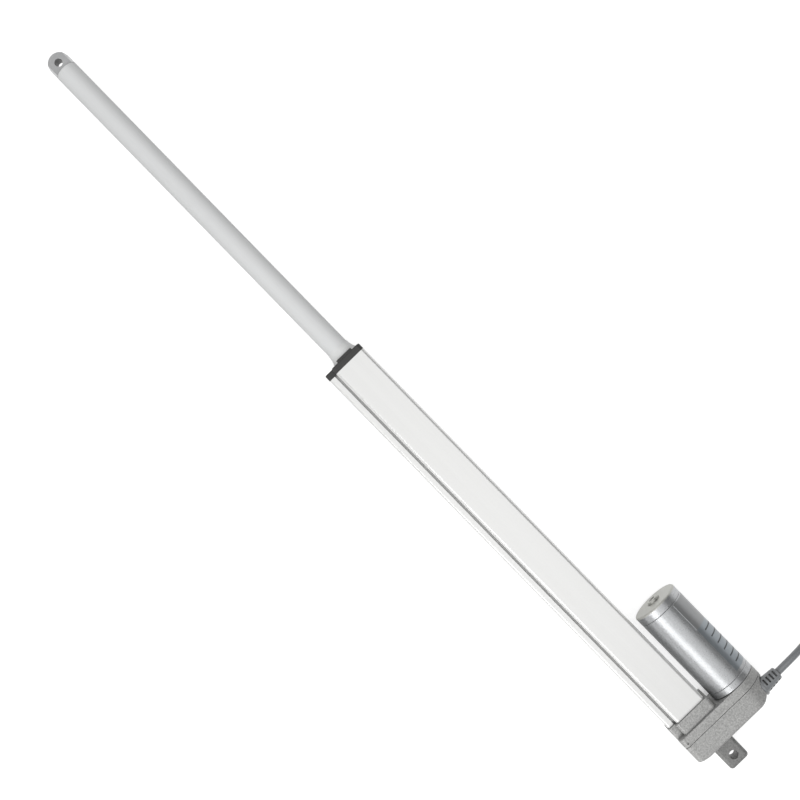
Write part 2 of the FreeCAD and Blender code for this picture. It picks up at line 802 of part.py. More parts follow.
def make_gasket():
    """The thin seal between the two halves of the gearbox."""
    body = new_body("gasket_blank")
    inset = "dim.gasket_inset"
    pad(body, case_outline(new_sketch(body, offset=PARTING), inset), "dim.gasket_thickness")
    round_edges(body, "dim.box_corner", beside(f"{LOBE_END} - {inset}", f"{BOX_HALF} - {inset}"))
    start = f"({PARTING} - {PAST})"
    through = f"dim.gasket_thickness + 2 * {PAST}"
    return cut(
        "housing_gasket",
        body,
        gear_cavity("gasket_cavity", start, f"({PLATE} + {PAST})"),
        cylinder("gasket_pinion_room", PINION_ROOM, through, start, MOTOR_Y),
        *holes("gasket_screw_hole", CASE_SCREWS, start, CASE_HOLE, through),
        *holes("gasket_motor_hole", MOTOR_SCREWS, start, SMALL_SEAT, through),
    )


def make_front_housing():
    """The cast front half: the motor's plate and the socket that holds the tube."""
    plate = new_body("plate_blank")
    pad(plate, case_outline(new_sketch(plate, offset=PLATE)), "dim.plate_depth")
    round_edges(plate, "dim.box_corner", beside(LOBE_END, BOX_HALF))
    round_edges(plate, "dim.plate_round", at_station(PLATE_FRONT))
    block = tube_blank(
        "socket_block", f"({PLATE_FRONT} - {PAST})", f"dim.block_depth + {PAST}",
        "dim.socket_wall", "dim.socket_lip",
    )
    socket = tube_blank(
        "socket_room", SOCKET_FLOOR, f"dim.socket_depth + {PAST}",
        "dim.socket_fit", "dim.socket_fit",
    )
    casting = fuse("front_casting", plate, block)
    start = f"({PLATE} - {PAST})"
    seat_depth = f"{PLATE_FLOOR} - {start}"
    inside = f"({CAVITY_FRONT} - {PAST})"
    return cut(
        "front_housing",
        casting,
        gear_cavity("front_cavity", start, CAVITY_FRONT),
        cylinder("front_pinion_room", PINION_ROOM, seat_depth, start, MOTOR_Y),
        cylinder("pilot_hole", "dim.pilot_radius + dim.face_gap",
                 f"dim.plate_depth + 2 * {PAST}", start, MOTOR_Y),
        cylinder("front_bearing_seat", "dim.front_bearing_radius",
                 f"{FRONT_BEARING_END} - {inside}", inside),
        cylinder("screw_way", "dim.screw_radius + dim.screw_room", "dim.block_depth",
                 FRONT_BEARING_END),
        cylinder("front_axle_hole", "dim.axle_radius", f"dim.axle_depth + {PAST}",
                 inside, IDLER_Y),
        cylinder("switch_wire_way", "dim.wire_way_radius",
                 f"dim.block_depth + dim.plate_depth + 2 * {PAST}",
                 start, f"{CHANNEL_END} - dim.wire_way_inset"),
        cylinder("moulding_dimple", "dim.dimple_radius", f"dim.dimple_depth + {PAST}",
                 f"{PLATE} + dim.dimple_station", f"{LOBE_END} - dim.dimple_inset",
                 f"{BOX_HALF} - dim.dimple_depth", "z"),
        socket,
        *holes("front_screw_hole", CASE_SCREWS, start, "dim.case_screw_radius",
               f"dim.plate_depth - dim.thread_floor + {PAST}"),
        *holes("motor_screw_hole", MOTOR_SCREWS, start, SMALL_HOLE,
               f"dim.plate_depth + 2 * {PAST}"),
        *holes("motor_head_seat", MOTOR_SCREWS, start, SMALL_SEAT, seat_depth),
        *holes("tube_screw_hole", TUBE_SCREWS, inside, SMALL_HOLE, "dim.block_depth"),
        *holes("tube_head_seat", TUBE_SCREWS, inside, SMALL_SEAT,
               f"dim.small_head_depth + dim.bearing_gap + {PAST}"),
    )


def make_tube():
    """The extruded tube with its round bore, switch channel and four screw ports."""
    blank = tube_blank("tube_blank", TUBE_START, TUBE_LENGTH)
    length = f"{TUBE_LENGTH} + 2 * {PAST}"
    start = f"{TUBE_START} - {PAST}"
    channel = box(
        "channel", start, "0", f"-{CHANNEL_HALF}", length, CHANNEL_END, f"2 * {CHANNEL_HALF}"
    )
    return cut(
        "profile_tube",
        blank,
        fuse("tube_room", cylinder("tube_bore", "dim.bore_radius", length, start), channel),
        *holes("port", TUBE_SCREWS, start, "dim.port_radius", length),
    )


def make_socket_seal():
    """The flat seal on the floor of the socket."""
    blank = tube_blank("seal_blank", SOCKET_FLOOR, "dim.seal_thickness")
    start = f"{SOCKET_FLOOR} - {PAST}"
    through = f"dim.seal_thickness + 2 * {PAST}"
    way = box(
        "seal_channel", start, "0", f"-{CHANNEL_HALF}", through, CHANNEL_END, f"2 * {CHANNEL_HALF}"
    )
    bore = cylinder("seal_bore", "dim.bore_radius", through, start)
    ports = holes("seal_port", TUBE_SCREWS, start, SMALL_HOLE, through)
    return cut("socket_seal", blank, fuse("seal_room", bore, way), *ports)


def make_cap():
    """The moulded front cap with a raised collar round the wiper."""
    blank = tube_blank("cap_blank", TUBE_FRONT, "dim.cap_depth")
    round_edges(blank, "dim.cap_round", at_station(CAP_FRONT))
    collar = box(
        "collar", f"{CAP_FRONT} - {PAST}", "-0.5 * dim.collar_width", "-dim.collar_half_height",
        f"dim.collar_height + {PAST}", "dim.collar_width", "2 * dim.collar_half_height",
    )
    start = f"{TUBE_FRONT} - {PAST}"
    head_seat = "(dim.small_head_depth + dim.head_drop)"
    return cut(
        "front_cap",
        fuse("cap_with_collar", blank, collar),
        cylinder("cap_bore", "dim.rod_radius + dim.rod_clearance",
                 f"dim.cap_depth + dim.collar_height + 2 * {PAST}", start),
        cylinder("wiper_room", "dim.wiper_flare", f"dim.wiper_seat + dim.collar_height + {PAST}",
                 f"{CAP_FRONT} - dim.wiper_seat"),
        *holes("cap_screw_hole", TUBE_SCREWS, start, SMALL_HOLE, f"dim.cap_depth + 2 * {PAST}"),
        *holes("cap_head_seat", TUBE_SCREWS, f"{CAP_FRONT} - {head_seat}",
               "dim.small_head_radius + dim.hole_clearance", f"{head_seat} + {PAST}"),
    )


def make_wiper():
    """The pale wiper ring, flared where it leaves the cap."""
    inner = "(dim.rod_radius + dim.running_fit)"
    lip = f"({inner} + dim.wiper_lip)"
    end = f"({CAP_FRONT} + dim.wiper_length)"
    sagitta = f"(dim.wiper_flare - {lip})"
    bend = f"((dim.wiper_length * dim.wiper_length + {sagitta} * {sagitta}) / (2 * {sagitta}))"
    return turned(
        "rod_wiper",
        [
            (f"{CAP_FRONT} - dim.wiper_seat", inner),
            (end, inner),
            (end, lip),
            (CAP_FRONT, "dim.wiper_flare", f"-{bend}"),
            (f"{CAP_FRONT} - dim.wiper_seat", "dim.wiper_flare"),
        ],
    )


def make_rod_end():
    """The solid end of the rod: a spigot in the tube and a flat lug with a round end."""
    spigot = turned(
        "tip_bar",
        [
            (f"{ROD_FRONT} - dim.tip_spigot", "0"),
            (TIP_END, "0"),
            (TIP_END, "dim.rod_radius"),
            (ROD_FRONT, "dim.rod_radius"),
            (ROD_FRONT, "dim.rod_radius - dim.rod_wall"),
            (f"{ROD_FRONT} - dim.tip_spigot", "dim.rod_radius - dim.rod_wall"),
        ],
    )
    flat = prism(
        "tip_plan",
        [
            (ROD_FRONT, "-dim.rod_radius"),
            (TIP_END, "-dim.rod_radius"),
            (TIP_END, "dim.rod_radius"),
            (ROD_FRONT, "dim.rod_radius"),
        ],
        "-dim.tip_half_thickness",
        "2 * dim.tip_half_thickness",
    )
    end = num(TIP_END)
    upright = runs_along("z")
    round_edges(flat, "dim.tip_round", lambda e: upright(e) and abs(e.BoundBox.XMin - end) < 0.1)
    inside = box(
        "tip_inside", f"{ROD_FRONT} - dim.tip_spigot", "-dim.rod_radius", "-dim.rod_radius",
        "dim.tip_spigot", "2 * dim.rod_radius", "2 * dim.rod_radius",
    )
    shape = common("tip_shape", spigot, fuse("tip_form", flat, inside))
    return cut(
        "rod_end",
        shape,
        cylinder("front_pin_hole", "0.5 * dim.front_hole",
                 f"2 * (dim.tip_half_thickness + {PAST})",
                 TIP_HOLE, "0", f"-dim.tip_half_thickness - {PAST}", "z"),
    )


def make_nut():
    """The drive nut, with a spigot for the rod and a key that runs in the channel."""
    nut_radius = "(dim.bore_radius - dim.nut_fit)"
    bar = turned(
        "nut_bar",
        [
            (NUT_START, "dim.screw_radius + dim.thread_fit"),
            (f"{NUT_FRONT} + dim.nut_spigot", "dim.screw_radius + dim.thread_fit"),
            (f"{NUT_FRONT} + dim.nut_spigot", "dim.rod_radius - dim.rod_wall"),
            (NUT_FRONT, "dim.rod_radius - dim.rod_wall"),
            (NUT_FRONT, nut_radius),
            (NUT_START, nut_radius),
        ],
    )
    key_low = f"({nut_radius} - dim.nut_overlap)"
    key_top = f"({SWITCH_FACE} - dim.plunger_proud - dim.key_clearance)"
    key = box(
        "nut_key", f"{NUT_START} + dim.key_start", key_low, "-dim.key_half_height",
        "dim.key_length", f"{key_top} - {key_low}", "2 * dim.key_half_height",
    )
    return fuse("drive_nut", bar, key)


def make_screw():
    """The lead screw, with the journal that its gear and both bearings sit on."""
    groove = f"({JOURNAL} - dim.groove_depth)"
    shoulder = f"({FRONT_BEARING_END} + dim.face_gap)"
    back = f"({BEARING_FLOOR} + dim.end_play)"
    bar = turned(
        "screw_bar",
        [
            (back, "0"),
            (f"{SCREW_END} + dim.guide_length", "0"),
            (f"{SCREW_END} + dim.guide_length", "dim.journal_radius"),
            (SCREW_END, "dim.journal_radius"),
            (SCREW_END, "dim.screw_radius"),
            (shoulder, "dim.screw_radius"),
            (shoulder, JOURNAL),
            (SCREW_GEAR_BACK, JOURNAL),
            (SCREW_GEAR_BACK, groove),
            (CLIP_BACK, groove),
            (CLIP_BACK, JOURNAL),
            (back, JOURNAL),
        ],
    )
    keyway = box("screw_keyway", *KEY_PLACE, *KEY_SIZE)
    return cut("lead_screw", bar, keyway)


KEY_LOW = "(dim.journal_radius - 0.5 * dim.key_width)"
KEY_PLACE = (f"{SCREW_GEAR_BACK} + dim.key_inset", "-0.5 * dim.key_width", KEY_LOW)
KEY_SIZE = ("dim.screw_gear_width - 2 * dim.key_inset", "dim.key_width", "dim.key_width")


def make_screw_gear():
    """The gear keyed to the screw."""
    teeth = spur_gear(
        "screw_gear_teeth", "dim.screw_teeth", "(-dim.tooth_shift)", SCREW_GEAR_BACK,
        "dim.screw_gear_width", JOURNAL, "0", True,
    )
    return cut("screw_gear", teeth, box("gear_keyway", *KEY_PLACE, *KEY_SIZE))


def make_idler():
    """The compound gear: a wide small gear and a big wheel in one piece."""
    bore = "dim.axle_radius + dim.running_fit"
    small = spur_gear(
        "idler_small", "dim.small_teeth", "dim.tooth_shift", SMALL_BACK,
        "dim.small_width", bore, IDLER_Y,
    )
    wheel = spur_gear(
        "idler_wheel", "dim.wheel_teeth", "(-dim.tooth_shift)", WHEEL_BACK,
        "dim.wheel_width", bore, IDLER_Y, True,
    )
    return fuse("idler_gear", small, wheel)


def make_bearing(name, inner, outer, start, width):
    """A shielded ball bearing, with its shields set back between the two races."""
    end = f"({start} + {width})"
    race = f"(({outer} - {inner}) / 4)"
    low = f"({inner} + {race})"
    high = f"({outer} - {race})"
    near_shield = f"({start} + dim.shield_inset)"
    far_shield = f"({end} - dim.shield_inset)"
    return turned(
        name,
        [
            (start, inner), (end, inner), (end, low), (far_shield, low),
            (far_shield, high), (end, high), (end, outer), (start, outer),
            (start, high), (near_shield, high), (near_shield, low), (start, low),
        ],
    )


def make_motor():
    """The motor's fixed pieces, from its base at the plate to the bearing boss."""
    bore = "(dim.shaft_radius + dim.shaft_clearance)"
    pilot = f"({PLATE_FLOOR} + dim.bearing_gap)"
    base = turned(
        "motor_base_blank",
        [
            (pilot, bore), (FRONT_BUSH, bore), (FRONT_BUSH, BUSH_RADIUS),
            (CAN_START, BUSH_RADIUS), (CAN_START, "dim.motor_radius"),
            (PLATE_FRONT, "dim.motor_radius"), (PLATE_FRONT, "dim.pilot_radius"),
            (pilot, "dim.pilot_radius"),
        ],
        MOTOR_Y,
    )
    threads = holes("motor_thread", MOTOR_SCREWS, f"{PLATE_FRONT} - {PAST}",
                    "dim.small_screw_radius", f"dim.motor_base - dim.thread_floor + {PAST}")
    can = ring("motor_can", MOTOR_INNER, "dim.motor_radius", CAN_START, CAN_END, MOTOR_Y)
    round_off = "dim.motor_end_round"
    floor = f"({MOTOR_FACE} - dim.bell_floor)"
    pocket_wall = f"({BUSH_RADIUS} + dim.motor_bush_wall)"
    end = turned(
        "motor_end_bell",
        [
            (REAR_BUSH_END, bore),
            (BOSS_FACE, bore),
            (BOSS_FACE, "dim.boss_radius - dim.boss_round"),
            (f"{BOSS_FACE} - dim.boss_round", "dim.boss_radius", "-dim.boss_round"),
            (MOTOR_FACE, "dim.boss_radius"),
            (MOTOR_FACE, f"dim.motor_radius - {round_off}"),
            (f"{MOTOR_FACE} - {round_off}", "dim.motor_radius", f"-{round_off}"),
            (CAN_END, "dim.motor_radius"),
            (CAN_END, MOTOR_INNER),
            (floor, MOTOR_INNER),
            (floor, pocket_wall),
            (REAR_BUSH, pocket_wall),
            (REAR_BUSH, BUSH_RADIUS),
            (REAR_BUSH_END, BUSH_RADIUS),
        ],
        MOTOR_Y,
    )
    fit = "dim.shaft_radius + dim.running_fit"
    front_bush = ring("motor_front_bush", fit, BUSH_RADIUS, FRONT_BUSH, CAN_START, MOTOR_Y)
    rear_bush = ring("motor_rear_bush", fit, BUSH_RADIUS, REAR_BUSH, REAR_BUSH_END, MOTOR_Y)
    magnet_ring = ring(
        "magnet_ring", f"({MOTOR_INNER} - dim.magnet_thickness)", MOTOR_INNER,
        f"{ARMATURE_START} - dim.magnet_overhang", f"{ARMATURE_END} + dim.magnet_overhang", MOTOR_Y,
    )
    gap = box(
        "magnet_gap", f"{CAN_START} - {PAST}", f"{MOTOR_Y} - dim.motor_radius",
        "-dim.magnet_gap", f"dim.motor_can_length + 2 * {PAST}", "2 * dim.motor_radius",
        "2 * dim.magnet_gap",
    )
    holder_blank = ring("holder_blank", "dim.commutator_radius + dim.holder_gap", MOTOR_INNER,
                        CAN_START, f"{CAN_START} + dim.holder_length", MOTOR_Y)
    contact = "(dim.commutator_radius + dim.face_gap)"
    brush_low = f"({MOTOR_Y} + {contact})"
    brush_far = f"({MOTOR_Y} - {contact} - dim.brush_depth)"
    brush_size = ("dim.brush_length", "dim.brush_depth", "dim.brush_width")
    brush_x = f"{CAN_START} + 0.5 * (dim.holder_length - dim.brush_length)"
    brush_z = "-0.5 * dim.brush_width"
    pair = [box("brush_near", brush_x, brush_low, brush_z, *brush_size),
            box("brush_far", brush_x, brush_far, brush_z, *brush_size)]
    slots = [box("slot_near", brush_x, brush_low, brush_z, *brush_size),
             box("slot_far", brush_x, brush_far, brush_z, *brush_size)]
    return [
        cut("motor_base", base, *threads), can, end, front_bush, rear_bush,
        cut("motor_magnets", magnet_ring, gap),
        cut("brush_holder", holder_blank, *slots),
        group("motor_brushes", *pair),
    ]


def make_rotor():
    """The pieces that turn with the motor's shaft."""
    shaft_end = f"({BOSS_FACE} - dim.shaft_sunk)"
    shaft = turned(
        "motor_shaft",
        [
            (PINION_BACK, "0"),
            (shaft_end, "0"),
            (shaft_end, "dim.shaft_radius - dim.shaft_chamfer"),
            (f"{shaft_end} - dim.shaft_chamfer", "dim.shaft_radius"),
            (PINION_BACK, "dim.shaft_radius"),
        ],
        MOTOR_Y,
    )
    pinion = spur_gear(
        "motor_pinion", "dim.pinion_teeth", "dim.tooth_shift", PINION_BACK,
        "dim.pinion_width", "dim.shaft_radius", MOTOR_Y,
    )
    core = ring("armature_core", "dim.shaft_radius", "dim.armature_radius",
                ARMATURE_START, ARMATURE_END, MOTOR_Y)
    winding = "(dim.armature_radius - dim.winding_drop)"
    near = ring("winding_near", "dim.shaft_radius", winding,
                f"{ARMATURE_START} - dim.winding_overhang", ARMATURE_START, MOTOR_Y)
    far = ring("winding_far", "dim.shaft_radius", winding, ARMATURE_END,
               f"{ARMATURE_END} + dim.winding_overhang", MOTOR_Y)
    bars = f"({CAN_START} + dim.commutator_start)"
    commutator = ring("commutator", "dim.shaft_radius", "dim.commutator_radius", bars,
                      f"{bars} + dim.commutator_length", MOTOR_Y)
    return [shaft, pinion, core, group("armature_windings", near, far), commutator]


def make_switches():
    """The board in the tube's channel with a limit switch at each end of the key's travel."""
    key_back = f"({TUBE_START} + dim.nut_gap + dim.key_start)"
    key_front = f"({key_back} + dim.stroke + dim.key_length)"
    board = box(
        "switch_board", f"{TUBE_START} + dim.board_start", BOARD_INNER, "-dim.board_half_width",
        f"{BUSH_START} - {TUBE_START} - dim.board_start - dim.board_end_gap",
        "dim.board_thickness", "2 * dim.board_half_width",
    )
    cases = []
    plungers = []
    stations = {
        "retract": f"({key_back} + dim.switch_offset)",
        "extend": f"({key_front} - dim.switch_offset)",
    }
    for name, x in stations.items():
        case = box(
            f"{name}_case", f"{x} - 0.5 * dim.switch_length", SWITCH_FACE,
            "-dim.switch_half_width", "dim.switch_length", "dim.switch_height",
            "2 * dim.switch_half_width",
        )
        room = cylinder(f"{name}_room", "dim.plunger_radius + dim.plunger_clearance",
                        f"dim.plunger_room + {PAST}", x, f"{SWITCH_FACE} - {PAST}", "0", "y")
        cases.append(cut(f"{name}_switch", case, room))
        plungers.append(cylinder(f"{name}_plunger", "dim.plunger_radius",
                                 "dim.plunger_depth + dim.plunger_proud", x,
                                 f"{SWITCH_FACE} - dim.plunger_proud", "0", "y"))
    return [board, group("limit_switches", *cases), *plungers]


SPINE_LEAN = 21
SLOT_ROWS = 4


def make_relief():
    """The moulded strain relief, slotted so that it bends with the cable."""
    flange = cylinder("relief_flange", "dim.relief_flange_radius", "dim.relief_flange",
                      RELIEF_X, f"{RELIEF_SEAT_Y} - dim.relief_flange", "dim.relief_height", "y")
    cone = bind(
        doc.addObject("Part::Cone", "relief_cone"),
        Radius1="dim.relief_tip", Radius2="dim.relief_root", Height="dim.relief_length",
    )
    place(cone, RELIEF_X, RELIEF_TIP_Y, "dim.relief_height", "y")
    rings = []
    for row in range(SLOT_ROWS):
        y = f"{RELIEF_TIP_Y} + dim.slot_start + dim.slot_pitch * {row}"
        outer = cylinder(f"slot_outer_{row}", "dim.relief_flange_radius", "dim.slot_width",
                         RELIEF_X, y, "dim.relief_height", "y")
        inner = cylinder(f"slot_inner_{row}", "dim.cable_radius + dim.slot_wall",
                         f"dim.slot_width + 2 * {PAST}", RELIEF_X, f"{y} - {PAST}",
                         "dim.relief_height", "y")
        rings.append(cut(f"slot_ring_{row}", outer, inner))
    spines = []
    centre = vector(num(RELIEF_X), num(RELIEF_TIP_Y), num("dim.relief_height"))
    across = f"2 * (dim.relief_flange_radius + {PAST})"
    for row, lean in enumerate((SPINE_LEAN, SPINE_LEAN + 90)):
        spine = bind(doc.addObject("Part::Box", f"spine_{row}"), Length="dim.spine_width",
                     Width="dim.relief_length", Height=across)
        spin = FreeCAD.Rotation(vector(0, 1), -lean)
        corner = spin.multVec(vector(num("dim.spine_width"), 0, num(across)) * -0.5)
        spine.Placement = FreeCAD.Placement(centre + corner, spin)
        spines.append(spine)
    slots = cut("relief_slots", group("slot_rings", *rings), fuse("spines", *spines))
    return cut("strain_relief", fuse("relief_body", flange, cone), slots)


def feature(name, shape):
    """A sub-part whose shape is worked out here."""
    item = doc.addObject("Part::Feature", name)
    item.Shape = shape
    return item


def soft_path(points, share=0.45):
    """Straight runs joined by arcs as large as the runs allow, and the smallest radius."""
    edges = []
    last = points[0]
    radii = []
    for before, corner, after in zip(points, points[1:], points[2:]):
        arriving = (corner - before).normalize()
        leaving = (after - corner).normalize()
        half_turn = arriving.getAngle(leaving) / 2
        reach = share * min((corner - before).Length, (after - corner).Length)
        radius = reach / math.tan(half_turn)
        radii.append(radius)
        start = corner - arriving * reach
        end = corner + leaving * reach
        inward = (leaving - arriving).normalize()
        middle = corner + inward * (radius / math.cos(half_turn) - radius)
        edges.append(Part.LineSegment(last, start).toShape())
        edges.append(Part.Arc(start, middle, end).toShape())
        last = end
    edges.append(Part.LineSegment(last, points[-1]).toShape())
    return Part.Wire(edges), radii


def make_cord_tube(name, points):
    """A stretch of the cable, swept along its path."""
    radius = num("dim.cable_radius")
    wire, radii = soft_path(points)
    section = Part.Wire(Part.makeCircle(radius, points[0], points[1] - points[0]))
    shape = wire.makePipeShell([section], True, False)
    share = shape.Volume / (math.pi * radius**2 * wire.Length)
    print(f"{name}: length {wire.Length:.1f}, volume share {share:.4f}, "
          f"radii {[round(r) for r in radii]}")
    return feature(name, shape)


# The cable's path from the relief to the coil, chosen by hand, relative to the relief's tip
CABLE_DROP = [
    (0.0, -13.0, 0.0),
    (-0.5, -29.0, -3.0),
    (-1.4, -45.0, -11.0),
    (-2.6, -61.0, -20.0),
    (-3.9, -77.0, -26.2),
]
# Step from the coil's first point back to the last one before it
ENTRY_STEP = (0.5, 16.0, 0.0)
# The cable's way off the coil to the floor: angle, radius and height above the upper layer
TAIL_TURN = [
    (-20.0, 36.4, 0.0),
    (-45.0, 38.5, 0.0),
    (-70.0, 41.1, -0.15),
    (-95.0, 43.0, -2.0),
    (-120.0, 43.8, -4.9),
    (-143.0, 45.0, -6.5),
    (-159.2, 46.5, -6.4),
]
# The plug's start beside the coil, relative to the coil's centre, and its heading
PLUG_STEP = (-46.5, 14.0)
PLUG_HEADING = (0.0, 1.0)
PLUG_RUN = 16.0
COIL_LAYERS = 2
COIL_LANES = 2


def make_cable():
    """The cable that the relief holds, put away in a flat coil, with a plug at its end."""
    radius = num("dim.cable_radius")
    floor = num(FLOOR_Z) + radius
    tip = vector(num(RELIEF_X), num(RELIEF_TIP_Y), num("dim.relief_height"))
    coil = vector(num("dim.coil_x"), num("dim.coil_y"), floor)
    turn = num("dim.coil_radius")
    entry = coil + vector(turn, 0)
    drop = [tip + vector(*step) for step in CABLE_DROP]
    lead = make_cord_tube("power_cable", [tip, *drop, entry + vector(*ENTRY_STEP), entry])
    outer = turn + radius + num("dim.coil_slack")
    inner = turn - radius * (2 * COIL_LANES - 1) - num("dim.coil_slack")
    height = 2 * radius * COIL_LAYERS
    foot = coil - vector(0, 0, radius)
    core = Part.makeCylinder(inner, height, foot)
    coil_shape = Part.makeCylinder(outer, height, foot).cut(core)
    heading = vector(*PLUG_HEADING).normalize()
    plug_start = vector(coil.x + PLUG_STEP[0], coil.y + PLUG_STEP[1],
                        num(FLOOR_Z) + num("dim.plug_radius"))
    turns = []
    for angle, wide, lift in TAIL_TURN:
        lean = math.radians(angle)
        turns.append(coil + vector(wide * math.cos(lean), wide * math.sin(lean),
                                   height - 2 * radius + lift))
    tail = make_cord_tube("cable_tail", [*turns, plug_start - heading * PLUG_RUN, plug_start])
    return [lead, feature("cable_coil", coil_shape), tail, *make_plug(plug_start, heading)]


def make_plug(start, heading):
    """A plain round plug: a tapered boot, a grip and a metal barrel."""
    spin = FreeCAD.Rotation(vector(1, 0), heading)
    end = "(dim.plug_boot + dim.plug_length)"
    body = turned(
        "plug_grip",
        [
            ("0", "0"), (end, "0"), (end, "dim.plug_radius - dim.plug_chamfer"),
            (f"{end} - dim.plug_chamfer", "dim.plug_radius"), ("dim.plug_boot", "dim.plug_radius"),
            ("0", "dim.cable_radius + dim.boot_wall"),
        ],
    )
    barrel = ring("plug_barrel", "dim.barrel_bore", "dim.barrel_radius", end,
                  f"{end} + dim.barrel_length")
    for piece in (body, barrel):
        piece.Placement = FreeCAD.Placement(start, spin)
    return [body, barrel]


def make_all():
    """Every sub-part, in the order in which the actuator would be put together."""
    deep = "dim.small_head_depth"
    small = ("dim.small_head_radius", deep)
    case = ("dim.case_head_radius", "dim.case_head_depth", "dim.case_screw_radius")
    back_head = f"({BACK} + dim.head_drop)"
    tube_head = f"({CAVITY_FRONT} + dim.bearing_gap)"
    case_end = f"({PLATE} + dim.case_bite)"
    tube_end = f"({TUBE_START} + dim.tube_bite)"
    parts = [
        make_rear_housing(),
        make_gasket(),
        make_front_housing(),
        make_tube(),
        make_socket_seal(),
        make_cap(),
        make_wiper(),
        ring("guide_bush", "dim.rod_radius + dim.running_fit", "dim.bore_radius",
             BUSH_START, TUBE_FRONT),
        group(
            "case_screws",
            *screws("back_screw", BACK_SCREWS, back_head, *case,
                    f"({case_end} - {back_head} - dim.case_head_depth)"),
            *screws("end_screw", END_SCREW, f"({END_SEAT} - dim.case_head_depth)", *case,
                    f"({case_end} - {END_SEAT})"),
        ),
        group("motor_screws", *screws("motor_screw", MOTOR_SCREWS, f"({PLATE_FLOOR} - {deep})",
                                      *small, "dim.small_screw_radius",
                                      "dim.floor_wall + dim.motor_bite")),
        group("tube_screws", *screws("tube_screw", TUBE_SCREWS, tube_head, *small,
                                     "dim.port_radius", f"({tube_end} - {tube_head} - {deep})")),
        group("cap_screws", *screws("cap_screw", TUBE_SCREWS, f"({CAP_FRONT} - dim.head_drop)",
                                    *small, "dim.port_radius",
                                    f"(dim.cap_depth - dim.head_drop - {deep} + dim.cap_bite)",
                                    -1)),
        make_bearing("rear_bearing", "dim.journal_radius", "dim.rear_bearing_radius",
                     BEARING_FLOOR, "dim.rear_bearing_width"),
        make_bearing("front_bearing", "dim.journal_radius", "dim.front_bearing_radius",
                     FRONT_BEARING, "dim.front_bearing_width"),
        cylinder("idler_axle", "dim.axle_radius",
                 f"{CAVITY_FRONT} + dim.axle_depth - {BEARING_FLOOR}", BEARING_FLOOR, IDLER_Y),
        *make_motor(),
        *make_rotor(),
        make_idler(),
        make_screw(),
        make_screw_gear(),
        box("gear_key", *KEY_PLACE, *KEY_SIZE),
        ring("gear_clip", f"{JOURNAL} - dim.groove_depth", f"{JOURNAL} + dim.clip_reach",
             CLIP_BACK, SCREW_GEAR_BACK),
        ring("gear_sleeve", JOURNAL, f"{JOURNAL} + dim.sleeve_wall", SCREW_GEAR_FRONT,
             FRONT_BEARING),
        ring("screw_guide", "dim.journal_radius", "dim.rod_radius - dim.rod_wall - dim.nut_fit",
             SCREW_END, f"({SCREW_END} + dim.guide_length)"),
        make_nut(),
        ring("rod_tube", "dim.rod_radius - dim.rod_wall", "dim.rod_radius", NUT_FRONT, ROD_FRONT),
        make_rod_end(),
        *make_switches(),
        make_relief(),
        *make_cable(),
    ]
    return {part.Label: part for part in parts}


parts = make_all()
doc.recompute()

faults = [item.Name for item in doc.Objects if {"Invalid", "Error"} & set(item.State)]
faults += [name for name, part in parts.items() if part.Shape.isNull() or not part.Shape.isValid()]
if faults:
    raise RuntimeError("failed objects: " + ", ".join(faults))

os.makedirs("parts", exist_ok=True)
for name, part in parts.items():
    part.Shape.exportStep(f"parts/{name}.step")
    print(f"{name}: {len(part.Shape.Solids)} solid(s), {part.Shape.Volume / 1000:.2f} cm3")
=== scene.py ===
import math

import bpy
from bpy.props import FloatProperty, FloatVectorProperty, IntProperty, PointerProperty
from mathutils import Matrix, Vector


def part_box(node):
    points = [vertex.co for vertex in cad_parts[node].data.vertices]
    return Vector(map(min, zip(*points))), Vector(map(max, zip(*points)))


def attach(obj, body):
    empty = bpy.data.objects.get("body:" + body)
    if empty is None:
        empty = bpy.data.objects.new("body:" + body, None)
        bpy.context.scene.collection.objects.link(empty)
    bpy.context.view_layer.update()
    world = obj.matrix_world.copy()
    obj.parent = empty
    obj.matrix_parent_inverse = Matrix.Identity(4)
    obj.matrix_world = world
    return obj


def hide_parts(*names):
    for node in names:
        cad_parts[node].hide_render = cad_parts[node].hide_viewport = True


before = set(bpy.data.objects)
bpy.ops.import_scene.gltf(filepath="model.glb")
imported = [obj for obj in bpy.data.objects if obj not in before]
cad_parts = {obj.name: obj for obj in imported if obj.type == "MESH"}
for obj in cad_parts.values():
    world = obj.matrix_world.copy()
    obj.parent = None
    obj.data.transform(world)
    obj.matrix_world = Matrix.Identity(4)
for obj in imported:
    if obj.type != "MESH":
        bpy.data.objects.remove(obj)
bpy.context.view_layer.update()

bl_info = {
    "name": "Electric linear actuator",
    "version": (1, 0, 0),
    "blender": (4, 5, 0),
    "location": "View3D > Sidebar > Actuator",
    "description": "Dresses the packed actuator with detailed pieces, finishes, floor and light",
    "category": "Object",
}

MM = 0.001


def centre_of(node):
    """The middle of a node's box across the actuator, as its Y and Z."""
    low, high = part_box(node)
    return (low.y + high.y) / 2, (low.z + high.z) / 2


def ends_of(node):
    """A node's first and last station along the actuator."""
    low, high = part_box(node)
    return low.x, high.x


MOTOR_AXIS = (centre_of("motor_base")[0], 0.0)
CAN_BACK, CAN_FRONT = ends_of("motor_can")
MOTOR_RADIUS = (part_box("motor_base")[1].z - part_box("motor_base")[0].z) / 2
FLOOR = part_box("power_cable")[0].z
RELIEF_TIP = Vector((sum(ends_of("strain_relief")) / 2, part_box("strain_relief")[0].y,
                     centre_of("strain_relief")[1]))


def length(name, description, default, **more):
    """A length that a user may change, in metres."""
    return FloatProperty(name=name, description=description, default=default, min=0.0,
                         unit="LENGTH", precision=5, **more)


def colour(name, description, default):
    """A colour that a user may change."""
    return FloatVectorProperty(name=name, description=description, default=default, size=3,
                               min=0.0, max=1.0, subtype="COLOR")


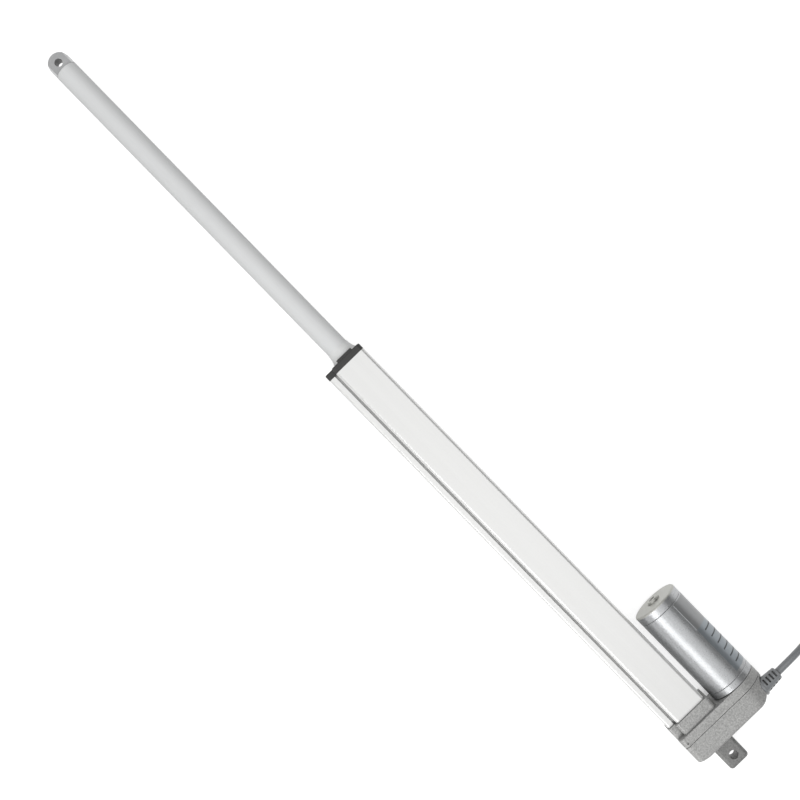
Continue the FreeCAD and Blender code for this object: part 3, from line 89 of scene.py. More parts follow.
class ActuatorSizes(bpy.types.PropertyGroup):
    """Sizes of the pieces that are made here."""

    cable_radius: length("Cable radius", "Half the cable's diameter", 0.00325)
    coil_turns: IntProperty(name="Coil turns", description="Turns of the put-away cable",
                            default=3, min=1, max=3)
    seam_width: length("Seam", "Chamfer on both sides of a seam of the motor", 0.0004)
    cover_round: length("Cover rounding", "Rounding of the motor cover's rim", 0.0018)
    groove_width: length("Groove width", "Width of the grooves beside the tube's channel", 0.0022)
    groove_depth: length("Groove depth", "Depth of the grooves beside the tube's channel", 0.0015)
    label_thickness: length("Label", "Thickness of the foil label on the motor", 0.00006)
    label_angle: FloatProperty(name="Label edge", unit="ROTATION", default=math.radians(23),
                               description="Where the label starts, from the top of the motor")
    label_sweep: FloatProperty(name="Label sweep", unit="ROTATION", default=math.radians(96),
                               description="How far the label goes round the motor")
    recess_width: length("Recess width", "Width of a screw's cross recess", 0.0009)
    recess_depth: length("Recess depth", "Depth of a screw's cross recess", 0.0016)
    grip_groove: length("Grip groove", "Depth of the grooves round the plug's grip", 0.0006)


class ActuatorColours(bpy.types.PropertyGroup):
    """Colours of the finishes."""

    casting: colour("Casting", "Cast aluminium of the gearbox", (0.595, 0.595, 0.585))
    profile: colour("Profile", "Anodised extruded tube", (0.84, 0.84, 0.83))
    rod: colour("Rod", "Satin rod", (0.855, 0.865, 0.865))
    rod_end: colour("Rod end", "Machined end of the rod", (0.61, 0.615, 0.62))
    motor: colour("Motor", "Plated steel of the motor", (0.555, 0.565, 0.575))
    cover: colour("Motor cover", "Cast cover of the motor", (0.58, 0.58, 0.545))
    label: colour("Label", "Foil of the label", (0.32, 0.35, 0.375))
    band: colour("Label band", "Plain band beside the label", (0.33, 0.335, 0.34))
    cap: colour("Cap", "Black plastic of the cap", (0.052, 0.051, 0.05))
    wiper: colour("Wiper", "Pale plastic of the wiper", (0.87, 0.875, 0.87))
    cable: colour("Cable", "Sheath of the cable and its relief", (0.23, 0.24, 0.25))
    plug: colour("Plug", "Plastic of the plug", (0.03, 0.03, 0.032))


def sizes():
    return bpy.context.scene.actuator_sizes


def colours():
    return bpy.context.scene.actuator_colours


# Modelling


# How far a cutting block or cylinder stands out of the piece that it cuts
SPARE = 0.002
# Faces of a CAD mesh that turn less than this from each other are one flat face
FLAT_ANGLE = math.radians(0.4)


def clear_selection():
    bpy.ops.object.select_all(action="DESELECT")


def take(piece):
    """Makes a piece the only selected object and the active one."""
    clear_selection()
    piece.select_set(True)
    bpy.context.view_layer.objects.active = piece


def place_in_mesh(piece):
    """Puts a piece's place into its mesh."""
    take(piece)
    bpy.ops.object.transform_apply(location=True, rotation=True, scale=True)


def settle(piece, sharp=30.0):
    """Puts a piece's place into its mesh and smooths its shading."""
    place_in_mesh(piece)
    bpy.ops.object.shade_smooth_by_angle(angle=math.radians(sharp))
    return piece


def close_up(gap=1e-6):
    """In edit mode, merges doubles and turns all faces outwards."""
    bpy.ops.mesh.select_all(action="SELECT")
    bpy.ops.mesh.remove_doubles(threshold=gap)
    bpy.ops.mesh.normals_make_consistent(inside=False)


def turned(name, stations, centre, sides=96, ring=False):
    """A piece turned on an axis along X: a circle, extruded and resized from station to station.

    A ring's last station is its first one again. Any other piece is closed at both ends."""
    clear_selection()
    start, radius = stations[0]
    bpy.ops.mesh.primitive_circle_add(vertices=sides, radius=radius, location=(start, *centre),
                                      rotation=(0, math.pi / 2, 0), enter_editmode=True)
    if not ring:
        bpy.ops.mesh.edge_face_add()
    for station, wide in stations[1:]:
        bpy.ops.mesh.extrude_region_move(
            TRANSFORM_OT_translate={"value": (station - start, 0, 0)})
        if wide != radius:
            share = wide / radius
            bpy.ops.transform.resize(value=(1, share, share),
                                     center_override=(station, *centre))
        start, radius = station, wide
    close_up()
    bpy.ops.object.mode_set(mode="OBJECT")
    piece = bpy.context.object
    piece.name = name
    return piece


def curve_in(start, radius, reach, steps=6):
    """Stations that round an edge off inwards, from the full radius to the face."""
    turns = [math.pi / 2 * step / steps for step in range(1, steps + 1)]
    return [(start + reach * math.sin(turn), radius - reach + reach * math.cos(turn))
            for turn in turns]


def groove_at(place, radius, depth, half_top, half_floor, widening=0.0):
    """The four stations of a groove round a turned piece, which may widen past it."""
    return [(place - half_top, radius), (place - half_floor, radius - depth),
            (place + half_floor, radius - depth), (place + half_top, radius + widening)]


def soften(piece, width, segments=2, angle=30.0):
    """Small rounded edges, applied, with the flat faces kept flat in shading."""
    take(piece)
    bevel = piece.modifiers.new("edges", "BEVEL")
    bevel.width = width
    bevel.segments = segments
    bevel.limit_method = "ANGLE"
    bevel.angle_limit = math.radians(angle)
    bpy.ops.object.modifier_apply(modifier=bevel.name)
    bpy.ops.object.shade_smooth_by_angle(angle=math.radians(angle))
    even = piece.modifiers.new("shading", "WEIGHTED_NORMAL")
    even.keep_sharp = True
    bpy.ops.object.modifier_apply(modifier=even.name)
    return piece


def copy_of(node, name):
    """A merged copy of a CAD node's mesh, with its flat faces whole, to be worked on."""
    piece = bpy.data.objects.new(name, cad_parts[node].data.copy())
    bpy.context.collection.objects.link(piece)
    take(piece)
    bpy.ops.object.mode_set(mode="EDIT")
    bpy.ops.mesh.customdata_custom_splitnormals_clear()
    close_up(gap=2e-6)
    bpy.ops.mesh.dissolve_limited(angle_limit=FLAT_ANGLE)
    bpy.ops.object.mode_set(mode="OBJECT")
    return piece


def block(size, place, turn=0.0):
    """A plain box to cut with, turned about Y."""
    clear_selection()
    bpy.ops.mesh.primitive_cube_add(size=1, location=place, enter_editmode=True)
    bpy.ops.transform.resize(value=size, center_override=place)
    bpy.ops.object.mode_set(mode="OBJECT")
    tool = bpy.context.object
    tool.rotation_euler.y = turn
    return tool


def cut_away(piece, tools):
    """Cuts the tools out of a piece, together, and removes them."""
    faces = len(piece.data.polygons)
    take(tools[0])
    for tool in tools:
        tool.select_set(True)
    if len(tools) > 1:
        bpy.ops.object.join()
    tool = bpy.context.object
    take(piece)
    cut = piece.modifiers.new("cut", "BOOLEAN")
    cut.object = tool
    cut.solver = "EXACT"
    cut.use_self = len(tools) > 1
    bpy.ops.object.modifier_apply(modifier=cut.name)
    bpy.data.objects.remove(tool)
    if len(piece.data.polygons) == faces:
        raise RuntimeError(f"nothing was cut out of {piece.name}")
    return piece


def dress(piece, body, slot, finish, *nodes):
    """Gives a piece its body, material and the nodes that it stands for. The slot is not used."""
    piece.data.materials.clear()
    piece.data.materials.append(finish)
    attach(piece, body)
    if nodes:
        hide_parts(*nodes)
    return piece


# Materials


FLOAT = "NodeSocketFloat"
VECTOR = "NodeSocketVector"
COAT_ROUGHNESS = 0.2
# The fine grain is the same noise as the patches, moved on
FINE_OFFSET = 7.0
# A rubbed edge: how far its normal turns, the noise that breaks it, and how long the breaks are
# in widths of the edge
EDGE_TURN = (0.995, 0.85)
BREAK_NOISE = (0.35, 0.6)
BREAK_LENGTH = 5
# A pit: its slope, how much of it the dark colour covers, that colour's share of the tint, and
# the pit's depth in grains
PIT_SLOPE = (0.0, 0.08)
PIT_COVER = 0.35
PIT_SHARE = 0.45
PIT_DEPTH = 0.6
# The housing's shaded back: a station, a second one and the share of the colour behind them
BACK_SHADE = (0.0156, 0.0166, 0.6)


def add_node(tree, kind, wires=None, **settings):
    """Adds a shader node. A wire's value is a socket to link from, or a plain value."""
    node = tree.nodes.new(kind)
    for key, value in settings.items():
        setattr(node, key, value)
    for key, value in (wires or {}).items():
        if isinstance(value, bpy.types.NodeSocket):
            tree.links.new(value, node.inputs[key])
        else:
            node.inputs[key].default_value = value
    return node


def worked_out(tree, operation, first, second):
    """The result of a sum on two values."""
    return add_node(tree, "ShaderNodeMath", {0: first, 1: second}, operation=operation).outputs[0]


def ramp(tree, value, start=0.3, end=0.7, low=0.0, high=1.0):
    """A value that goes from low to high as another one, such as a noise, goes from start to end."""
    return add_node(tree, "ShaderNodeMapRange", {
        "Value": value, "From Min": start, "From Max": end, "To Min": low, "To Max": high,
    }).outputs[0]


def blend_colours(tree, factor, first, second, kind="MIX"):
    """Two colours mixed by a mask."""
    return add_node(tree, "ShaderNodeMix", {0: factor, 6: first, 7: second}, data_type="RGBA",
                    blend_type=kind).outputs[2]


def rgb(values, share=1.0):
    return (*[min(1.0, value * share) for value in values], 1.0)


def darkened(tree, body, mask, share):
    """A colour brought down to a share of itself where a mask is 1."""
    dark = blend_colours(tree, 1.0, body, rgb((share,) * 3), "MULTIPLY")
    return blend_colours(tree, mask, body, dark)


def new_group(name, inputs, output):
    """An empty shader group with named sockets."""
    group = bpy.data.node_groups.new(name, "ShaderNodeTree")
    for label, kind, value in inputs:
        socket = group.interface.new_socket(label, in_out="INPUT", socket_type=kind)
        socket.default_value = value
    group.interface.new_socket(output, in_out="OUTPUT", socket_type=FLOAT)
    given = group.nodes.new("NodeGroupInput").outputs
    return group, given, group.nodes.new("NodeGroupOutput").inputs[output]


def object_place(tree):
    return add_node(tree, "ShaderNodeTexCoord").outputs["Object"]


def grain_group():
    """Noise on object coordinates, with a grain size in metres and a stretch along each axis."""
    tree, given, value = new_group(
        "grain",
        [("Size", FLOAT, 0.001), ("Stretch", VECTOR, (1, 1, 1)), ("Detail", FLOAT, 3.0),
         ("Offset", FLOAT, 0.0)],
        "Value")
    squeezed = add_node(tree, "ShaderNodeVectorMath",
                        {0: object_place(tree), 1: given["Stretch"]}, operation="DIVIDE")
    moved = add_node(tree, "ShaderNodeVectorMath", {0: squeezed.outputs[0], 1: given["Offset"]},
                     operation="ADD")
    noise = add_node(tree, "ShaderNodeTexNoise", {
        "Vector": moved.outputs[0], "Scale": worked_out(tree, "DIVIDE", 1.0, given["Size"]),
        "Detail": given["Detail"], "Roughness": 0.6})
    tree.links.new(noise.outputs["Fac"], value)
    return tree


def wear_group():
    """A mask of the rubbed edges: where rounding the surface would turn its normal."""
    tree, given, mask = new_group(
        "edge_wear",
        [("Width", FLOAT, 0.0006), ("Breaks", FLOAT, 0.6), ("Size", FLOAT, 0.002)], "Mask")
    soft = add_node(tree, "ShaderNodeBevel", {"Radius": given["Width"]}, samples=4)
    flat = add_node(tree, "ShaderNodeNewGeometry")
    same = add_node(tree, "ShaderNodeVectorMath",
                    {0: soft.outputs[0], 1: flat.outputs["Normal"]}, operation="DOT_PRODUCT")
    noise = add_node(tree, "ShaderNodeTexNoise", {
        "Vector": object_place(tree), "Scale": worked_out(tree, "DIVIDE", 1.0, given["Size"]),
        "Detail": 2.0})
    edge = ramp(tree, same.outputs["Value"], *EDGE_TURN)
    broken = ramp(tree, noise.outputs["Fac"], *BREAK_NOISE)
    kept = add_node(tree, "ShaderNodeMix", {0: given["Breaks"], 2: 1.0, 3: broken})
    tree.links.new(worked_out(tree, "MULTIPLY", edge, kept.outputs[0]), mask)
    return tree


def speck_group():
    """A mask of small scattered pits or specks."""
    tree, given, mask = new_group(
        "specks", [("Size", FLOAT, 0.002), ("Share", FLOAT, 0.2)], "Mask")
    cells = add_node(tree, "ShaderNodeTexVoronoi", {
        "Vector": object_place(tree), "Scale": worked_out(tree, "DIVIDE", 1.0, given["Size"])})
    near = worked_out(tree, "SUBTRACT", given["Share"], cells.outputs["Distance"])
    tree.links.new(ramp(tree, near, *PIT_SLOPE), mask)
    return tree


def recess_group():
    """A mask of the corners and recesses, where little light comes in from nearby."""
    tree, given, mask = new_group(
        "recess", [("Reach", FLOAT, 0.003), ("From", FLOAT, 0.75), ("To", FLOAT, 0.35)], "Mask")
    open_side = add_node(tree, "ShaderNodeAmbientOcclusion", {"Distance": given["Reach"]},
                         samples=6)
    tree.links.new(ramp(tree, open_side.outputs["AO"], given["From"], given["To"]), mask)
    return tree


GROUP_MAKERS = {"grain": grain_group, "edge_wear": wear_group, "specks": speck_group,
                "recess": recess_group}


def group_node(tree, name, **values):
    """Places a shared group in a material with its own values, and makes the group once."""
    node = tree.nodes.new("ShaderNodeGroup")
    node.node_tree = bpy.data.node_groups.get(name) or GROUP_MAKERS[name]()
    for key, value in values.items():
        node.inputs[key].default_value = value
    return node.outputs[0]


def finish(name, tint, metal=0.0, rough=(0.4, 0.5), size=0.0008, stretch=(1, 1, 1), depth=0.02,
           contrast=0.06, patch=0.02, patch_contrast=0.05, wear=None, wear_width=0.0006,
           specks=None, speck_share=0.18, coat=0.0, painted_shade=None, painted_shade_reach=0.003,
           painted_shade_range=(0.75, 0.4), back_shade=None):
    """A surface with broad patches, fine grain, rubbed edges, specks and painted recess shade.

    The grain's size, the patch and the specks are in metres, and the grain's depth is in
    millimetres. The painted shade is the share of the colour that is left in a recess, and its
    range is how open a place is where that shade starts and where it is full."""
    made = bpy.data.materials.get(f"{name}_finish")
    if made:
        return made
    material = bpy.data.materials.new(f"{name}_finish")
    material.use_nodes = True
    tree = material.node_tree
    shader = tree.nodes["Principled BSDF"]
    shader.inputs["Metallic"].default_value = metal
    shader.inputs["Coat Weight"].default_value = coat
    shader.inputs["Coat Roughness"].default_value = COAT_ROUGHNESS
    patches = group_node(tree, "grain", Size=patch, Stretch=stretch, Detail=4.0)
    fine = group_node(tree, "grain", Size=size, Stretch=stretch, Detail=5.0, Offset=FINE_OFFSET)
    body = blend_colours(tree, ramp(tree, patches), rgb(tint, 1 - patch_contrast),
                         rgb(tint, 1 + patch_contrast))
    fine_shade = blend_colours(tree, ramp(tree, fine), rgb((1 - contrast,) * 3), rgb((1.0,) * 3))
    body = blend_colours(tree, 1.0, body, fine_shade, "MULTIPLY")
    height = fine
    if specks:
        pits = group_node(tree, "specks", Size=specks, Share=speck_share)
        body = blend_colours(tree, ramp(tree, pits, 0.0, 1.0, 0.0, PIT_COVER), body,
                             rgb(tint, PIT_SHARE))
        height = worked_out(tree, "SUBTRACT", fine,
                            worked_out(tree, "MULTIPLY", pits, PIT_DEPTH))
    if wear:
        worn = group_node(tree, "edge_wear", Width=wear_width, Size=wear_width * BREAK_LENGTH)
        body = blend_colours(tree, worn, body, rgb(wear))
    if back_shade:
        first, last, share = back_shade
        place = add_node(tree, "ShaderNodeSeparateXYZ", {0: object_place(tree)})
        behind = ramp(tree, place.outputs["X"], first, last, 1.0, 0.0)
        body = darkened(tree, body, behind, share)
    # Painted shade: the colour is darkened where ambient occlusion finds other surfaces near, in
    # corners, seams, slots and holes.
    if painted_shade:
        recess_shade = group_node(tree, "recess", Reach=painted_shade_reach, From=painted_shade_range[0],
                            To=painted_shade_range[1])
        body = darkened(tree, body, recess_shade, painted_shade)
    tree.links.new(body, shader.inputs["Base Color"])
    tree.links.new(ramp(tree, fine, low=rough[0], high=rough[1]), shader.inputs["Roughness"])
    bump = add_node(tree, "ShaderNodeBump", {"Height": height, "Strength": 1.0,
                                             "Distance": depth * MM})
    tree.links.new(bump.outputs[0], shader.inputs["Normal"])
    return material


def finishes():
    """Every finish of the actuator, by the name of its material slot in the record."""
    tint = colours()
    # Painted shade darkens a finish's colour in its corners, seams, slots and holes.
    recipes = {
        "cast_alloy": dict(
            tint=tint.casting, metal=0.5, rough=(0.46, 0.62), size=0.0013, depth=0.13,
            contrast=0.5, patch=0.014, patch_contrast=0.04, wear=(0.56, 0.56, 0.55),
            specks=0.0024, speck_share=0.16, painted_shade=0.35, back_shade=BACK_SHADE),
        "anodised": dict(
            tint=tint.profile, metal=0.5, rough=(0.3, 0.38), size=0.0006, stretch=(60, 1, 1),
            depth=0.004, contrast=0.03, patch=0.006, patch_contrast=0.015, wear=(0.9, 0.9, 0.9),
            wear_width=0.0004, painted_shade=0.28, painted_shade_reach=0.0035, painted_shade_range=(0.8, 0.45)),
        "rod_steel": dict(
            tint=tint.rod, rough=(0.55, 0.65), size=0.0005, stretch=(40, 1, 1), depth=0.003,
            contrast=0.05, patch=0.006, patch_contrast=0.02, wear=(0.85, 0.85, 0.85),
            wear_width=0.0004),
        "end_alloy": dict(
            tint=tint.rod_end, metal=0.7, rough=(0.32, 0.46), size=0.0007, contrast=0.1,
            patch=0.008, wear=(0.75, 0.75, 0.75), wear_width=0.0004, painted_shade=0.12,
            painted_shade_reach=0.012),
        "motor_steel": dict(
            tint=tint.motor, metal=0.75, rough=(0.26, 0.42), size=0.0011, depth=0.085,
            contrast=0.26, patch=0.012, patch_contrast=0.03, wear=(0.7, 0.7, 0.7),
            wear_width=0.0003, painted_shade=0.25, painted_shade_reach=0.0012),
        "end_bell": dict(
            tint=tint.cover, metal=0.6, rough=(0.38, 0.5), depth=0.03, contrast=0.1, patch=0.01,
            wear=(0.62, 0.62, 0.58), wear_width=0.0004, painted_shade=0.3, painted_shade_reach=0.0015),
        "black_plastic": dict(
            tint=tint.cap, rough=(0.4, 0.55), size=0.0005, contrast=0.2, patch=0.008,
            patch_contrast=0.1, wear=(0.14, 0.14, 0.14), wear_width=0.0004),
        "pale_plastic": dict(
            tint=tint.wiper, rough=(0.5, 0.6), size=0.0007, depth=0.01, contrast=0.05,
            patch=0.008, wear=(0.8, 0.8, 0.8), wear_width=0.0003),
        "white_plastic": dict(
            tint=(0.75, 0.74, 0.70), depth=0.01, contrast=0.05, patch=0.01,
            wear=(0.86, 0.85, 0.82), wear_width=0.0003),
        "dark_seal": dict(
            tint=(0.025, 0.025, 0.025), rough=(0.6, 0.75), size=0.0006, contrast=0.2,
            wear=(0.08, 0.08, 0.08)),
        "screw_steel": dict(
            tint=(0.42, 0.42, 0.42), metal=0.9, rough=(0.28, 0.42), size=0.0005, depth=0.008,
            contrast=0.12, patch=0.003, wear=(0.7, 0.7, 0.7), wear_width=0.0003),
        "bearing_steel": dict(
            tint=(0.5, 0.5, 0.51), metal=1.0, rough=(0.2, 0.3), size=0.0005, depth=0.004,
            wear=(0.7, 0.7, 0.7), wear_width=0.0003),
        "gear_steel": dict(
            tint=(0.36, 0.35, 0.34), metal=0.95, rough=(0.3, 0.45), size=0.0005,
            stretch=(8, 1, 1), depth=0.006, contrast=0.15, wear=(0.62, 0.61, 0.6),
            wear_width=0.0003),
        "gear_plastic": dict(
            tint=(0.70, 0.66, 0.56), rough=(0.38, 0.5), size=0.0006, depth=0.012, contrast=0.08,
            wear=(0.82, 0.79, 0.72), wear_width=0.0003, specks=0.003, speck_share=0.08),
        "bronze": dict(
            tint=(0.42, 0.27, 0.12), metal=0.95, rough=(0.35, 0.5), size=0.0004, depth=0.012,
            contrast=0.18, wear=(0.62, 0.44, 0.24), wear_width=0.0003, specks=0.0008,
            speck_share=0.22),
        "magnet": dict(
            tint=(0.055, 0.055, 0.06), rough=(0.5, 0.66), size=0.0006, depth=0.03,
            contrast=0.25, wear=(0.16, 0.16, 0.17), specks=0.002),
        "lamination": dict(
            tint=(0.30, 0.30, 0.31), metal=0.8, rough=(0.36, 0.5), size=0.0005,
            stretch=(1, 30, 30), depth=0.05, contrast=0.3, wear=(0.5, 0.5, 0.5),
            wear_width=0.0003),
        "copper": dict(
            tint=(0.55, 0.23, 0.09), metal=0.9, rough=(0.25, 0.4), size=0.0006,
            stretch=(30, 1, 1), depth=0.08, contrast=0.35, wear=(0.74, 0.42, 0.24),
            wear_width=0.0003),
        "carbon": dict(
            tint=(0.03, 0.03, 0.032), metal=0.3, rough=(0.45, 0.6), size=0.0004, contrast=0.3,
            wear=(0.1, 0.1, 0.1)),
        "board": dict(
            tint=(0.02, 0.14, 0.06), rough=(0.3, 0.4), size=0.0012, stretch=(12, 1, 1),
            depth=0.03, contrast=0.35, coat=0.4, wear=(0.3, 0.32, 0.2), wear_width=0.0003),
        "cable_grey": dict(
            tint=tint.cable, rough=(0.24, 0.34), size=0.0006, coat=0.5, depth=0.004,
            patch=0.012, patch_contrast=0.04, wear=(0.3, 0.31, 0.32), wear_width=0.0003,
            painted_shade=0.08, painted_shade_reach=0.002, painted_shade_range=(0.85, 0.55)),
        "plug_black": dict(
            tint=tint.plug, rough=(0.4, 0.52), size=0.0006, contrast=0.2,
            wear=(0.1, 0.1, 0.1), wear_width=0.0003),
        "plug_metal": dict(
            tint=(0.62, 0.62, 0.6), metal=1.0, rough=(0.18, 0.28), size=0.0004, depth=0.004,
            contrast=0.08, wear=(0.8, 0.8, 0.78), wear_width=0.0003),
    }
    return {name: finish(name, **recipe) for name, recipe in recipes.items()}


class ACTUATOR_OT_finishes(bpy.types.Operator):
    """Gives every CAD node a finish with grain, patches and worn edges"""

    bl_idname = "actuator.finishes"
    bl_label = "Finishes"

    def execute(self, context):
        made = finishes()
        for name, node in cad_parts.items():
            for slot in node.material_slots:
                kind = slot.material.name.split(".")[0]
                if kind not in made:
                    raise RuntimeError(f"{name} has no finish for {kind}")
                slot.material = made[kind]
        return {"FINISHED"}


# The cable


# Steps from the relief's tip to the coil, as in the part's source
CABLE_DROP = (
    (0.0, -0.013, 0.0),
    (-0.0005, -0.029, -0.0030),
    (-0.0014, -0.045, -0.0110),
    (-0.0026, -0.061, -0.0200),
    (-0.0039, -0.077, -0.0262),
)
COIL_CENTRE = (-0.017, -0.184)
COIL_RADIUS = 0.0356
ENTRY_STEP = (0.0005, 0.016, 0.0)
# The way off the coil to the floor: angle, radius and height above the upper layer
TAIL_TURN = (
    (-20.0, 0.0364, 0.0),
    (-45.0, 0.0385, 0.0),
    (-70.0, 0.0411, -0.00015),
    (-95.0, 0.0430, -0.0020),
    (-120.0, 0.0438, -0.0049),
    (-143.0, 0.0450, -0.0065),
    (-159.2, 0.0465, -0.0064),
)
PLUG_STEP = (-0.0465, 0.014)
PLUG_HEADING = (0.0, 1.0)
PLUG_RUN = 0.016
TURN_POINTS = 16
# The turns, counted from the coil's start, over which it goes inward, up a layer and outward
GOES_INWARD = (0.70, 0.98)
GOES_UP = (1.34, 1.62)
GOES_OUTWARD = (2.02, 2.30)

# The plug along its own axis, with the boot first
PLUG_RADIUS = 0.0056
BOOT_END = 0.014
BOOT_LIP = 0.0006
BOOT_GROOVES = 4
GRIP_END = 0.040
GRIP_PLAIN = 0.006
GRIP_GROOVES = 7
GRIP_PITCH = 0.0024
GRIP_EDGE = 0.0008
SOCKET_DEPTH = 0.002
# A groove of the boot and one of the grip: half its width at the top and at its floor, and how
# much the boot widens past it
BOOT_GROOVE = (0.0009, 0.0006, 0.0002)
GRIP_GROOVE = (0.0005, 0.0003)
# The contact, with the groove of its ring: its place, radius, depth and half its widths
CONTACT_TIP = 0.0495
CONTACT_RADIUS = 0.00275
CONTACT_RING = (0.0421, CONTACT_RADIUS, 0.00015, 0.0006, 0.0003)
CONTACT_BORE = 0.00105
# The contact's mouth: how far back from the tip, and the radius there
CONTACT_MOUTH = (
    (0.0004, CONTACT_RADIUS),
    (0.0, 0.0024),
    (0.0, 0.0017),
    (0.0006, 0.00135),
    (0.0040, CONTACT_BORE),
)


def between(value, start, end):
    """0 before start, 1 after end and a smooth step between."""
    share = min(1.0, max(0.0, (value - start) / (end - start)))
    return share * share * (3 - 2 * share)


def coil_points(radius):
    """The coil's control points: outer turn, inner turn, and an upper turn back outwards."""
    lane = 2 * radius
    low = FLOOR + radius
    # The circle of the control points, as a share of the round line that they draw
    outside = 1 / (0.75 + 0.25 * math.cos(2 * math.pi / TURN_POINTS))
    points = []
    for step in range(1, sizes().coil_turns * TURN_POINTS + 1):
        done = step / TURN_POINTS
        lanes_in = between(done, *GOES_INWARD) - between(done, *GOES_OUTWARD)
        wide = (COIL_RADIUS - lane * lanes_in) * outside
        turn = -2 * math.pi * done
        points.append(Vector((COIL_CENTRE[0] + wide * math.cos(turn),
                              COIL_CENTRE[1] + wide * math.sin(turn),
                              low + lane * between(done, *GOES_UP))))
    return points


def cable_points(radius):
    """The whole cable's control points, and where its plug starts and points."""
    low = FLOOR + radius
    entry = Vector((COIL_CENTRE[0] + COIL_RADIUS, COIL_CENTRE[1], low))
    heading = Vector((*PLUG_HEADING, 0)).normalized()
    plug = Vector((COIL_CENTRE[0] + PLUG_STEP[0], COIL_CENTRE[1] + PLUG_STEP[1],
                   FLOOR + PLUG_RADIUS))
    drop = [RELIEF_TIP + Vector(step) for step in CABLE_DROP]
    tail = [Vector((COIL_CENTRE[0] + wide * math.cos(math.radians(angle)),
                    COIL_CENTRE[1] + wide * math.sin(math.radians(angle)),
                    low + 2 * radius + lift)) for angle, wide, lift in TAIL_TURN]
    points = [RELIEF_TIP, *drop, entry + Vector(ENTRY_STEP), entry, *coil_points(radius),
              *tail, plug - heading * PLUG_RUN, plug]
    return points, plug, heading


class ACTUATOR_OT_cable(bpy.types.Operator):
    """Lays the cable from its relief to the floor, into its coil and to its plug"""

    bl_idname = "actuator.cable"
    bl_label = "Cable and plug"

    def execute(self, context):
        made = finishes()
        radius = sizes().cable_radius
        points, start, heading = cable_points(radius)
        curve = bpy.data.curves.new("cable", "CURVE")
        curve.dimensions = "3D"
        curve.bevel_depth = radius
        curve.bevel_resolution = 8
        curve.resolution_u = 8
        curve.use_fill_caps = True
        line = curve.splines.new("NURBS")
        line.points.add(len(points) - 1)
        for point, place in zip(line.points, points):
            point.co = (*place, 1.0)
        line.order_u = 3
        line.use_endpoint_u = True
        cable = bpy.data.objects.new("cable", curve)
        bpy.context.collection.objects.link(cable)
        dress(cable, "housing", "cable_grey", made["cable_grey"],
              "power_cable", "cable_coil", "cable_tail")
        grip = self.plug_grip(start, heading)
        dress(grip, "housing", "plug_black", made["plug_black"], "plug_grip")
        barrel = self.plug_barrel(start, heading)
        dress(barrel, "housing", "plug_metal", made["plug_metal"], "plug_barrel")
        return {"FINISHED"}

    def along(self, piece, start, heading):
        """Turns a piece made along X into the plug's heading."""
        piece.rotation_euler.z = math.atan2(heading.y, heading.x)
        piece.location = start
        return settle(piece)

    def plug_grip(self, start, heading):
        """The boot and the grip, with the grooves round both, and the grip's socket."""
        radius = sizes().cable_radius
        groove = sizes().grip_groove
        mouth = radius + BOOT_LIP
        stations = [(0.0, radius * 1.02), (0.0, mouth)]
        for row in range(BOOT_GROOVES):
            share = (row + 0.5) / BOOT_GROOVES
            wide = mouth + (PLUG_RADIUS - mouth - BOOT_LIP) * share
            stations += groove_at(BOOT_END * share, wide, groove, *BOOT_GROOVE)
        stations += [(BOOT_END, PLUG_RADIUS)]
        for row in range(GRIP_GROOVES):
            place = BOOT_END + GRIP_PLAIN + row * GRIP_PITCH
            stations += groove_at(place, PLUG_RADIUS, groove, *GRIP_GROOVE)
        stations += [(GRIP_END - GRIP_EDGE, PLUG_RADIUS), (GRIP_END, PLUG_RADIUS - GRIP_EDGE),
                     (GRIP_END, CONTACT_RADIUS), (GRIP_END - SOCKET_DEPTH, CONTACT_RADIUS)]
        piece = turned("plug_handle", stations, (0, 0), 48)
        soften(piece, width=0.00012)
        return self.along(piece, start, heading)

    def plug_barrel(self, start, heading):
        """The metal contact with its insulating ring and bore."""
        back = GRIP_END - SOCKET_DEPTH / 2
        mouth = [(CONTACT_TIP - inside, radius) for inside, radius in CONTACT_MOUTH]
        stations = [(back, CONTACT_BORE), (back, CONTACT_RADIUS), *groove_at(*CONTACT_RING),
                    *mouth, (back, CONTACT_BORE)]
        piece = turned("plug_contact", stations, (0, 0), 48, ring=True)
        return self.along(piece, start, heading)


# The cable relief


RELIEF_EDGE = 0.0003
RELIEF_COLLAR = 0.0022
RELIEF_SLOPE = 0.0008
RELIEF_STEP = 0.0002
RELIEF_ROOT = 0.0070
RELIEF_NECK = 0.0057
SLOT_ROWS = 4
SLOT_START = 0.00305
SLOT_PITCH = 0.0036
SLOT_WIDTH = 0.0017
SLOT_FLOOR = 0.0043
SLOT_TOOL = 0.010
# Each column of slots: its angle off the top, and how long its slots are
SLOT_COLUMNS = tuple((math.radians(angle), long) for angle, long in (
    (-28, 0.0060), (60, 0.0040), (152, 0.0060), (240, 0.0040)))


